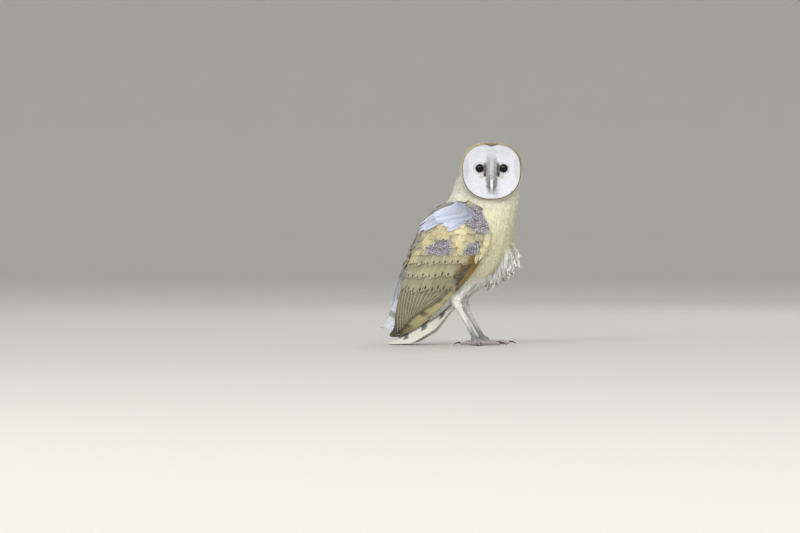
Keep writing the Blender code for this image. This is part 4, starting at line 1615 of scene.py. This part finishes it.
# Rows of coverts: their tips lie on along = reach - ROW_SLANT * across.  Then length,
# width, spacing, how strong the dark drop at the tip is, and height over the wing.
ROW_SLANT = 0.55
COVERT_ROWS = (
    (158, 52, 13.0, 8.6, 1.0, 2.3),
    (134, 40, 13.0, 8.8, 1.0, 2.6),
    (110, 32, 12.5, 8.6, 1.0, 2.9),
    (95, 25, 12.0, 8.2, 0.3, 3.0),
    (82, 22, 11.5, 7.8, 0.0, 3.0),
    (70, 21, 11.0, 7.4, 0.0, 3.0),
    (58, 20, 10.5, 7.0, 0.0, 3.0),
    (46, 19, 10.5, 6.8, 0.0, 3.0),
    (34, 18, 10.0, 6.6, 0.0, 2.9),
    (22, 17, 10.0, 6.4, 0.0, 2.8),
    (10, 15, 9.5, 6.2, 0.0, 2.6),
)


ROW_FRONT = 3.0         # a row's first tip lies this far inside the front edge
ROW_BACK = 2            # and its last one at least this far inside the rear edge
ROW_MOST = 40
ROW_PASSES = 4          # to find where a tip lies along the wing
COVERT_LOW = 2.6        # a covert's root lies this much lower than its tip


def slanting_row(wing, reach, spacing):
    """Tips along one row, from the front edge to the back, evenly over the surface."""
    tips = []
    u = reach
    w = None
    while True:
        for _ in range(ROW_PASSES):
            low, high = wing.sheet.edges(u)
            here = high - ROW_FRONT if w is None else w
            spot, _ = wing.sheet.at(np.array(u), np.array(here))
            u = reach - ROW_SLANT * wing.measures(spot)[1]
        if here < low + ROW_BACK or len(tips) > ROW_MOST:
            return tips
        tips.append((u, here))
        w = here - spacing


def straight(root, tip, stations=2):
    """Points evenly along a line."""
    t = np.linspace(0, 1, stations)[:, None]
    return np.array(root) * (1 - t) + np.array(tip) * t


TIP_SHARE = 0.55        # of a covert's colour that comes from its tip's place
TIP_BACK = 5            # and that place lies this far short of the tip


def covert_colours(tract, grid):
    """Each covert takes most of its colour from where its tip lies."""
    wing = tract.wing
    tip = tract.spot[:, np.abs(grid - (0.5, 1)).sum(axis=1).argmin()][:, None]
    place = TIP_SHARE * (tip - TIP_BACK * MM * wing.axis) + (1 - TIP_SHARE) * tract.spot
    tint, marks = wing_plumage(*wing.measures(place.reshape(-1, 3)))
    marks[:, 0] = np.repeat(tract.marks[:, 0], len(grid))
    return tint, marks


def make_coverts(side, word):
    """The overlapping rows of coverts on the folded wing."""
    wing = WINGS[side]
    shafts, widths, low, high, marks = [], [], [], [], []
    for reach, length, width, spacing, drop, height in COVERT_ROWS:
        for u, w in slanting_row(wing, reach, spacing):
            u += rng.normal(0, 1.5)
            w += rng.normal(0, 0.7)
            long = length * rng.uniform(0.93, 1.07)
            low_edge, high_edge = wing.sheet.edges(u - long)
            root = min(max(w + rng.normal(0, 0.6), low_edge + 2), high_edge - 2)
            shafts.append(straight((u - long, root), (u, w)))
            widths.append(width * rng.uniform(0.95, 1.06))
            low.append(height - COVERT_LOW)
            high.append(height + rng.uniform(-0.2, 0.2))
            rust = float(blob(*wing.measures(wing.sheet.at(np.array(u), np.array(w))[0]),
                              RUST_PLACE, (26, 9), -8))
            marks.append((drop * (1 - rust) * rng.uniform(0.7, 1.0), 0.0))
    tract = Drawn(wing.sheet, shafts, widths, low, high, np.zeros((len(shafts), 3)),
                  marks, covert_colours, camber=0.10, pointed=0.15, ragged=0.03,
                  softness=0.4, full=0.72, over=1.6)
    tract.wing = wing
    cells = math.ceil(math.sqrt(len(shafts)))
    mesh = vanes_mesh("covert_rows_" + word, tract, 4, 8, atlas=cells)
    dressed(new_piece("covert_rows_" + word, mesh, COVERT_FEATHER), "plumage_golden")


# Long loose feathers of the shoulder and the wrist, drawn as they are seen square to
# the wing: root and tip as (along, across), width, height, colour, speckle.  Each entry
# makes three feathers, a little apart.
LONG_FEATHERS = (
    ((-4, -4), (30, -22), 13, 2.6, MANTLE_OLIVE, 0.7),
    ((20, -16), (54, -36), 13, 2.8, MANTLE_OLIVE, 0.6),
    ((40, -24), (78, -40), 12, 2.9, MANTLE_OLIVE, 0.5),
    ((62, -34), (100, -44), 12, 3.0, MANTLE_OLIVE, 0.4),
    ((24, 6), (70, -22), 12, 3.4, COVERT_KHAKI, 0.2),
    ((36, 8), (82, -14), 12, 3.5, WING_YELLOW, 0.1),
    ((14, 18), (52, 0), 12, 3.6, WING_YELLOW, 0.1),
    # grey scapulars painted pale blue: painted sheen
    ((2, 26), (38, 8), 12, 3.8, SCAPULAR_SHEEN_BLUE, 0.15),
    ((-2, 22), (36, 0), 12, 4.0, SCAPULAR_SHEEN_BLUE, 0.05),
    ((14, 6), (58, -22), 12, 4.2, SCAPULAR_SHEEN_BLUE, 0.1),
    ((-5, 16), (36, -12), 12.5, 4.5, SCAPULAR_SHEEN_BLUE, 0.0),
    ((14, 0), (62, -33), 12.5, 4.7, SCAPULAR_SHEEN_BLUE, 0.1),
    ((-8, 8), (34, -20), 11, 4.9, SCAPULAR_SHEEN_BLUE, 0.1),
    ((-2, -9), (34, -31), 9, 5.6, MANTLE_OLIVE, 0.6),
    ((20, -19), (58, -43), 9, 5.6, MANTLE_OLIVE, 0.6),
    ((46, 76), (102, 58), 11, 3.6, RUST_DARK, 0.35),
    ((52, 82), (114, 60), 12, 3.8, RUST_DARK, 0.2),
    ((54, 86), (112, 64), 12, 4.0, RUST, 0.0),
    ((50, 89), (104, 69), 12, 4.2, RUST, 0.0),
    ((48, 91), (98, 73), 11, 4.4, RUST, 0.0),
)
LONG_SHIFTS = (0.0, 0.5, 1.0)
LONG_APART = 5          # from the first of three to the last, along and across

# Narrow pale feathers along the wing's front edge: from, to, inset, width.
MARGIN_FEATHERS = ((4, 40, 1.6, 4.5), (22, 62, 1.8, 5.0), (44, 84, 2.0, 5.0),
                   (62, 100, 2.0, 5.0))
MARGIN_LOW, MARGIN_HIGH = 1.5, 3.2      # height over the wing at root and tip
LONG_ATLAS = 8          # cells along a side of the map: three for each entry and margins


def long_colours(tract, grid):
    """The plain colour along the shaft, and paler towards the edges and the tip."""
    tint, marks = [np.repeat(v, len(grid), axis=0) for v in (tract.tint, tract.marks)]
    aside = np.tile(np.abs(grid[:, 0] - 0.5), len(tract.tint))
    along = np.tile(grid[:, 1], len(tract.tint))
    pale = np.minimum(tint * 1.18, 0.9)
    share = (step(aside, 0.2, 0.5) * (0.4 + 0.6 * step(along, 0.3, 0.9)))[:, None]
    return tint * (1 - share) + pale * share, marks


def make_long_feathers(side, word):
    """Scapulars over the wing's upper edge, grey with a pale blue painted sheen, and the rust
    feathers at the wrist.
    """
    wing = WINGS[side]
    shafts, widths, low, high, tints, marks = [], [], [], [], [], []
    for root, tip, width, height, tint, grain in LONG_FEATHERS:
        for shift in LONG_SHIFTS:
            offset = np.array((rng.normal(0, 1.5), rng.normal(0, 1.2))) + LONG_APART * shift
            ends = []
            for along, across in (np.array(root) + offset, np.array(tip) + offset):
                w = float(wing.sheet.arc_at(along, across))
                low_edge, high_edge = wing.sheet.edges(along)
                ends.append((along, min(max(w, low_edge - 3), high_edge - 1)))
            shafts.append(straight(*ends, stations=3))
            widths.append(width * rng.uniform(0.6, 0.78))
            made = tint * rng.uniform(0.85, 1.0)
            if tint is SCAPULAR_SHEEN_BLUE:
                low.append(height - 0.6)
                high.append(height + 0.8 - 0.5 * shift)
                # some paler still: more painted sheen
                made = made + (DISC_WHITE - made) * rng.uniform(0.0, 0.3)
            else:
                low.append(height - 2.2)
                high.append(height - 0.5 * shift)
            tints.append(made)
            marks.append((0.0, grain))
    for start, end, inset, width in MARGIN_FEATHERS:
        u = np.linspace(start, end, 3)
        shafts.append(np.stack([u, wing.sheet.edges(u)[1] - inset], 1))
        widths.append(width)
        low.append(MARGIN_LOW)
        high.append(MARGIN_HIGH)
        tints.append(WING_LIGHT * 0.95)
        marks.append((0.0, 0.0))
    tract = Drawn(wing.sheet, shafts, widths, low, high, tints, marks, long_colours,
                  camber=0.16, pointed=0.35, ragged=0.03, over=3, full=0.6)
    mesh = vanes_mesh("long_feathers_" + word, tract, 4, 14, atlas=LONG_ATLAS)
    dressed(new_piece("long_feathers_" + word, mesh, COVERT_FEATHER), "plumage_golden")


# Primaries, outermost first: how far the outer edge of each lies from the wing's front
# edge, and how far its tip falls short of the wing's.
PRIMARIES = ((0.3, 7), (5.0, 0.5), (15.5, 0.5), (19, 2), (22, 4), (25, 8), (28, 13),
             (31, 19), (34, 26))
PRIMARY_WIDTH = 15
PRIMARY_SHAFT = 4.2     # from the outer edge to the shaft
PRIMARY_START = 104     # along the wing, where the primaries leave the coverts
SECONDARY_START = 96
SECONDARIES = 12
SECONDARY_WIDTH = 14.5
SECONDARY_FIRST = 166   # along the wing, the tip of the first one
SECONDARY_SHORT = 14    # how far the last one's tip falls short of the wing's
SECONDARY_BOW = 7       # how far the last one bends towards the back
FULL_WIDTH = 60         # the folded wing is this wide where the offsets count in full
QUILL_STATIONS = 12     # points along a shaft
SECONDARY_ROOTS = (8, 5)    # their roots' margin at the front edge, and at the rear one
SECONDARY_EDGE = 22     # their tips lie this far inside the front edge
QUILL_LIFT = 0.09       # each quill's height over the one before it
QUILL_LOW = 2.6         # a quill's root lies this much lower than its tip


def quill_shafts(wing):
    """The shafts of one wing's quills, lowest first, and what each one is."""
    shafts, kinds = [], []
    for edge, short in PRIMARIES:
        u = np.linspace(PRIMARY_START, wing.length - short, QUILL_STATIONS)
        low, high = wing.sheet.edges(u)
        room = np.minimum((high - low) / FULL_WIDTH, 1)
        shafts.append(np.stack([u, high - (edge + PRIMARY_SHAFT) * room - 0.6], 1))
        kinds.append(("primary", edge))
    low, high = wing.sheet.edges(SECONDARY_START)
    ahead, behind = SECONDARY_ROOTS
    for k in range(SECONDARIES):
        share = k / (SECONDARIES - 1)
        tip_u = SECONDARY_FIRST + (wing.length - SECONDARY_SHORT - SECONDARY_FIRST) * share
        low_tip, high_tip = wing.sheet.edges(tip_u)
        room = min((high_tip - low_tip) / FULL_WIDTH, 1)
        root = (SECONDARY_START, high - ahead - (high - low - ahead - behind) * share)
        tip = (tip_u, max(high_tip - SECONDARY_EDGE * room, low_tip + 3.5))
        shaft = straight(root, tip, QUILL_STATIONS)
        bend = np.sin(math.pi * np.linspace(0, 1, QUILL_STATIONS))
        shaft[:, 1] -= SECONDARY_BOW * share * bend
        shafts.append(shaft)
        kinds.append(("secondary", share))
    return shafts, kinds


def quill_colours(tract, grid):
    """Khaki outer primaries with strong bars; browner, streaked secondaries."""
    end = tract.far_from
    every = np.ones(len(grid))
    aside = np.abs(grid[:, 0] - 0.5)
    tints, marks = [], []
    for flat, (kind, rank) in zip(tract.flat, tract.kinds):
        back = end - flat[:, 0]
        if kind == "primary":
            tint = mixed(VANE_YELLOW, VANE_BROWN, every * min(rank / 26, 1))
            bars, pepper, deep = (0.95 if rank > 1 else 0.35), 0.15, 0.35
        else:
            tint = mixed(VANE_BROWN, VANE_GREY, every * (0.25 + 0.5 * rank))
            streak = step(aside, 0.1, 0.02) * 0.3 + step(aside, 0.36, 0.5) * 0.4
            tint = mixed(tint, COVERT_KHAKI, streak * step(back, 20, 60))
            bars, pepper, deep = 0.3, 0.5, 0.8
        tint = mixed(tint, VANE_DARK, deep * step(back, 105, 30))
        tints.append(mixed(tint, VANE_TIP, 0.95 * step(back, 38, 12)))
        marks.append(np.stack([every * bars, every * pepper], 1))
    return np.concatenate(tints), np.concatenate(marks)


def make_quills(side, word):
    """Primaries under secondaries, each over the one in front of it."""
    wing = WINGS[side]
    shafts, kinds = quill_shafts(wing)
    count = len(shafts)
    high = 0.1 + QUILL_LIFT * np.arange(count)
    width = [PRIMARY_WIDTH if kind == "primary" else SECONDARY_WIDTH for kind, _ in kinds]
    skew = [-0.35 if kind == "primary" else 0.0 for kind, _ in kinds]
    tract = Drawn(wing.sheet, shafts, width, high - QUILL_LOW, high, np.zeros((count, 3)),
                  np.zeros((count, 2)), quill_colours, skew=skew, far_from=wing.length,
                  camber=0.08, pointed=0.1, ragged=0.0, softness=0.0, full=0.87)
    tract.kinds = kinds
    mesh = vanes_mesh("wing_quills_" + word, tract, 6, 30, atlas=5)
    solid_vanes("wing_quills_" + word, mesh, WING_QUILL, UNDER_QUILL, "flight_feather",
                "flight_feathers_" + word)


VANE_THICKNESS = 0.35
UPPER_HALF = 0.5        # of the OFBake map, which the lower faces take


def solid_vanes(name, mesh, above, below, slot, node):
    """Gives the vanes a thin body with a finish of its own below, and its own map."""
    piece = new_piece(name, mesh, above, below)
    wall = piece.modifiers.new("thickness", "SOLIDIFY")
    wall.thickness = VANE_THICKNESS * MM
    wall.offset = -1
    wall.material_offset = 1
    made = applied_mesh(piece)
    piece.modifiers.clear()
    piece.data = made
    uv = made.uv_layers["OFBake"].data
    for face in made.polygons:
        if face.material_index == 1:
            for i in face.loop_indices:
                uv[i].uv.y += UPPER_HALF
    made.shade_smooth()
    dressed(piece, slot, node)


# ---- the tail ----


TAIL_PAIRS = 6
TAIL_MARGIN = 8         # how far the sheet goes past the tail solid's ends
TAIL_HALF = 44          # and its reach to each side
TAIL_WIDTH = 17.0       # of one feather
TAIL_ROOT = -6          # along the tail solid
TAIL_SHORT = 6.0        # how much shorter the outer pair is than the middle one
TAIL_TOP = 1.3          # height of the middle pair over the solid
TAIL_DROP = 0.22        # each pair lies this much lower than the one inside it
TAIL_BARS = 35          # the bars are counted from here, short of the end
TAIL_CLEAR = 0.6        # everything stays this far over the floor


def tail_colours(tract, grid):
    """Cream, with grey bars on all but the outer edge."""
    every = np.ones(len(grid))
    tints, marks = [], []
    for (pair, side), length in zip(tract.kinds, tract.length / MM):
        aside = (grid[:, 0] - 0.5) * 2 * side
        back = (1 - grid[:, 1]) * length
        bars = 0.9 * step(back, 16, 26)
        if pair >= TAIL_PAIRS - 2:
            bars = bars * step(-aside, -0.35, 0.1)
        tints.append(mixed(TAIL_CREAM, WING_YELLOW, every * (0.45 if pair == 0 else 0.1)))
        marks.append(np.stack([bars, every * 0.25], 1))
    return np.concatenate(tints), np.concatenate(marks)


def make_tail():
    """Twelve tail feathers, the middle pair on top, closed and arched."""
    low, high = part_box("tail")
    long = (high.x - low.x) / MM
    sheet = Sheet(["tail"], (high.x, 0, 0), (-1, 0, 0), (0, 1, 0), (0, 0, 1),
                  (-TAIL_MARGIN, long + TAIL_MARGIN), (-TAIL_HALF, TAIL_HALF))
    shafts, kinds, heights = [], [], []
    for pair in range(TAIL_PAIRS - 1, -1, -1):      # outermost first: it lies lowest
        for side in (-1, 1):
            tip = long - 1.0 - TAIL_SHORT * (pair / (TAIL_PAIRS - 1)) ** 2
            u = np.linspace(TAIL_ROOT, tip, QUILL_STATIONS)
            low_w, high_w = sheet.edges(u)
            closing = 0.4 + 0.6 * step(u, TAIL_ROOT, 40)
            share = side * (pair + 0.45) / (TAIL_PAIRS + 1.2) * closing
            shafts.append(np.stack([u, share * (high_w - low_w) / 2], 1))
            kinds.append((pair, side))
            heights.append(TAIL_TOP - TAIL_DROP * pair)
    count, heights = len(shafts), np.array(heights)
    tract = Drawn(sheet, shafts, np.full(count, TAIL_WIDTH), heights - 0.5, heights,
                  np.zeros((count, 3)), np.zeros((count, 2)), tail_colours,
                  camber=0.05, pointed=-0.1, ragged=0.0, far_from=long - TAIL_BARS,
                  softness=0.0, full=0.9)
    tract.kinds = kinds
    mesh = vanes_mesh("tail_quills", tract, 6, 26, atlas=4)
    points = coordinates(mesh)
    points[:, 2] = np.maximum(points[:, 2], TAIL_CLEAR * MM)
    mesh.vertices.foreach_set("co", points.ravel())
    solid_vanes("tail_quills", mesh, TAIL_QUILL, TAIL_UNDER, "tail_feather", "tail")


# ---- eyes, bill, claws ----


FACE_TURN = FACING.to_track_quat("Z", "Y").to_matrix().to_4x4()


def make_eye(side, word):
    """A glossy ball that knows how far each point is from the axis of its gaze."""
    bm = bmesh.new()
    bmesh.ops.create_uvsphere(bm, u_segments=40, v_segments=24, radius=EYE_RADIUS)
    place = Matrix.Translation(EYES[side]) @ FACE_TURN
    bmesh.ops.transform(bm, matrix=place, verts=bm.verts)
    mesh = smooth_mesh(bm, "eyeball_" + word)
    rel = coordinates(mesh) - np.array(EYES[side])
    off = np.linalg.norm(np.cross(rel, np.array(FACING)), axis=1) / EYE_RADIUS
    layer = mesh.attributes.new("iris", "FLOAT", "POINT")
    layer.data.foreach_set("value", off.astype(np.float32))
    dressed(new_piece("eyeball_" + word, mesh, EYE), "eye_dark", "eye_" + word)


LID_RADIUS = 5.9        # of the open eye
LID_THICK = 0.6
LID_BACK = 0.3          # behind the circle of that radius on the eyeball
LID_TALL = 1.02         # the opening's height to its width


def make_lid(side, word):
    """The eyelids' dark rim round the open eye."""
    bm = bmesh.new()
    bmesh.ops.create_circle(bm, segments=10, radius=LID_THICK * MM)
    bmesh.ops.rotate(bm, verts=bm.verts, cent=(0, 0, 0),
                     matrix=Matrix.Rotation(math.pi / 2, 3, "X"))
    bmesh.ops.translate(bm, verts=bm.verts, vec=(LID_RADIUS * MM, 0, 0))
    bmesh.ops.spin(bm, geom=bm.verts[:] + bm.edges[:], cent=(0, 0, 0), axis=(0, 0, 1),
                   angle=2 * math.pi, steps=40, use_merge=True)
    bmesh.ops.recalc_face_normals(bm, faces=bm.faces)
    bmesh.ops.scale(bm, verts=bm.verts, vec=(1, LID_TALL, 1))
    ahead = math.sqrt(EYE_RADIUS ** 2 - (LID_RADIUS * MM) ** 2) - LID_BACK * MM
    place = Matrix.Translation(EYES[side] + FACING * ahead) @ FACE_TURN
    bmesh.ops.transform(bm, matrix=place, verts=bm.verts)
    mesh = smooth_mesh(bm, "eyelid_" + word)
    paint(mesh, "plume", np.tile(LID_DARK, (len(mesh.vertices), 1)))
    dressed(new_piece("eyelid_" + word, mesh, SKIN), "plumage_white")


def smoothed_copy(node, name, material, slot):
    """The CAD solid's own shape, made smooth by subdivision."""
    piece = new_piece(name, smooth_mesh(joined_nodes(node), name), material)
    finer = piece.modifiers.new("finer", "SUBSURF")
    finer.levels = 2
    finer.render_levels = 2
    dressed(piece, slot, node)


def make_hard_parts():
    for side, word in SIDES:
        make_eye(side, word)
        make_lid(side, word)
        for toe in TOES:
            smoothed_copy(f"claw_{toe}_{word}", f"talon_{toe}_{word}", CLAW_HORN,
                          "claw_horn")
    smoothed_copy("bill_upper", "upper_bill", BILL_HORN, "bill_horn")
    smoothed_copy("bill_lower", "lower_bill", BILL_HORN, "bill_horn")


# ---- floor, light and camera ----


VIEW_AZIMUTH = math.radians(13)     # ahead of square to the bird's right side
VIEW_DISTANCE = 6.0
VIEW_WIDTH = 1.24       # metres across the picture, at the bird
VIEW_HEIGHT = 0.167     # of the lens over the floor
AIM = Vector((FEET.x - 0.1213, -0.0272, 0.1217))        # the middle of the picture


FLOOR_RADIUS = 9.0      # metres, as all sizes of the stage
FLOOR_CURVE = ((1.0, 0.15), (0.8, 0.5), (0.5, 0.9), (0.15, 1.4), (0.0, 4.0))  # out, up
AIR_STRENGTH = 1.1
LAMPS_AIM = Vector((0, 0, 0.16))
# Name, place, size and power in watts.
LAMPS = (
    ("key_light", (-1.0, -4.2, 2.6), 1.9, 104),
    ("fill_light", (2.2, -4.4, 2.0), 2.4, 64),
    ("back_light", (0.3, 2.6, 2.2), 1.5, 18),
)


def make_stage():
    """A pale floor that curves up far off, and bright air all round."""
    made, tree = blank_material("studio_paper")
    paper = add(tree, "BsdfPrincipled", {"Base Color": PAPER_GREY, "Roughness": 0.9})
    finish_material(tree, paper)
    bm = bmesh.new()
    bmesh.ops.create_circle(bm, cap_ends=True, segments=96, radius=FLOOR_RADIUS)
    rim = bm.edges[:]
    for out, rise in FLOOR_CURVE:
        grown = bmesh.ops.extrude_edge_only(bm, edges=rim)["geom"]
        rim = [g for g in grown if isinstance(g, bmesh.types.BMEdge)]
        for vertex in {v for e in rim for v in e.verts}:
            radial = Vector((vertex.co.x, vertex.co.y, 0)).normalized()
            vertex.co += radial * out + UP * rise
    floor = new_piece("studio_floor", smooth_mesh(bm, "studio_floor"), made)
    floor.visible_shadow = False

    world = bpy.data.worlds.new("studio_air")
    world.use_nodes = True
    air = world.node_tree.nodes["Background"].inputs
    air["Color"].default_value = (1, 1, 1, 1)
    air["Strength"].default_value = AIR_STRENGTH
    bpy.context.scene.world = world


def make_lamps():
    """Two wide soft lights high in front of the bird's right side, a weak one behind."""
    for name, place, size, power in LAMPS:
        data = bpy.data.lights.new(name, "AREA")
        data.size = size
        data.energy = power
        lamp = bpy.data.objects.new(name, data)
        lamp.location = place
        aim = LAMPS_AIM - lamp.location
        lamp.rotation_mode = "QUATERNION"
        lamp.rotation_quaternion = aim.to_track_quat("-Z", "Y")
        bpy.context.scene.collection.objects.link(lamp)


def set_colours():
    """Colours are shown as they are, without a film curve."""
    bpy.context.scene.view_settings.view_transform = "Standard"


def make_camera():
    """Level with the bird's breast, thirteen degrees ahead of square to its side."""
    data = bpy.data.cameras.new("camera")
    data.sensor_width = 36
    data.lens = data.sensor_width * VIEW_DISTANCE / VIEW_WIDTH
    camera = bpy.data.objects.new("camera", data)
    look = Vector((-math.sin(VIEW_AZIMUTH), math.cos(VIEW_AZIMUTH), 0))
    camera.location = AIM - look * VIEW_DISTANCE
    camera.location.z = VIEW_HEIGHT
    camera.rotation_mode = "QUATERNION"
    camera.rotation_quaternion = (AIM - camera.location).to_track_quat("-Z", "Y")
    bpy.context.scene.collection.objects.link(camera)
    bpy.context.scene.camera = camera


make_camera()
set_colours()
make_stage()
make_lamps()
make_hard_parts()
make_head()
make_body()
for side, word in SIDES:
    make_coverts(side, word)
    make_long_feathers(side, word)
    make_quills(side, word)
make_tail()
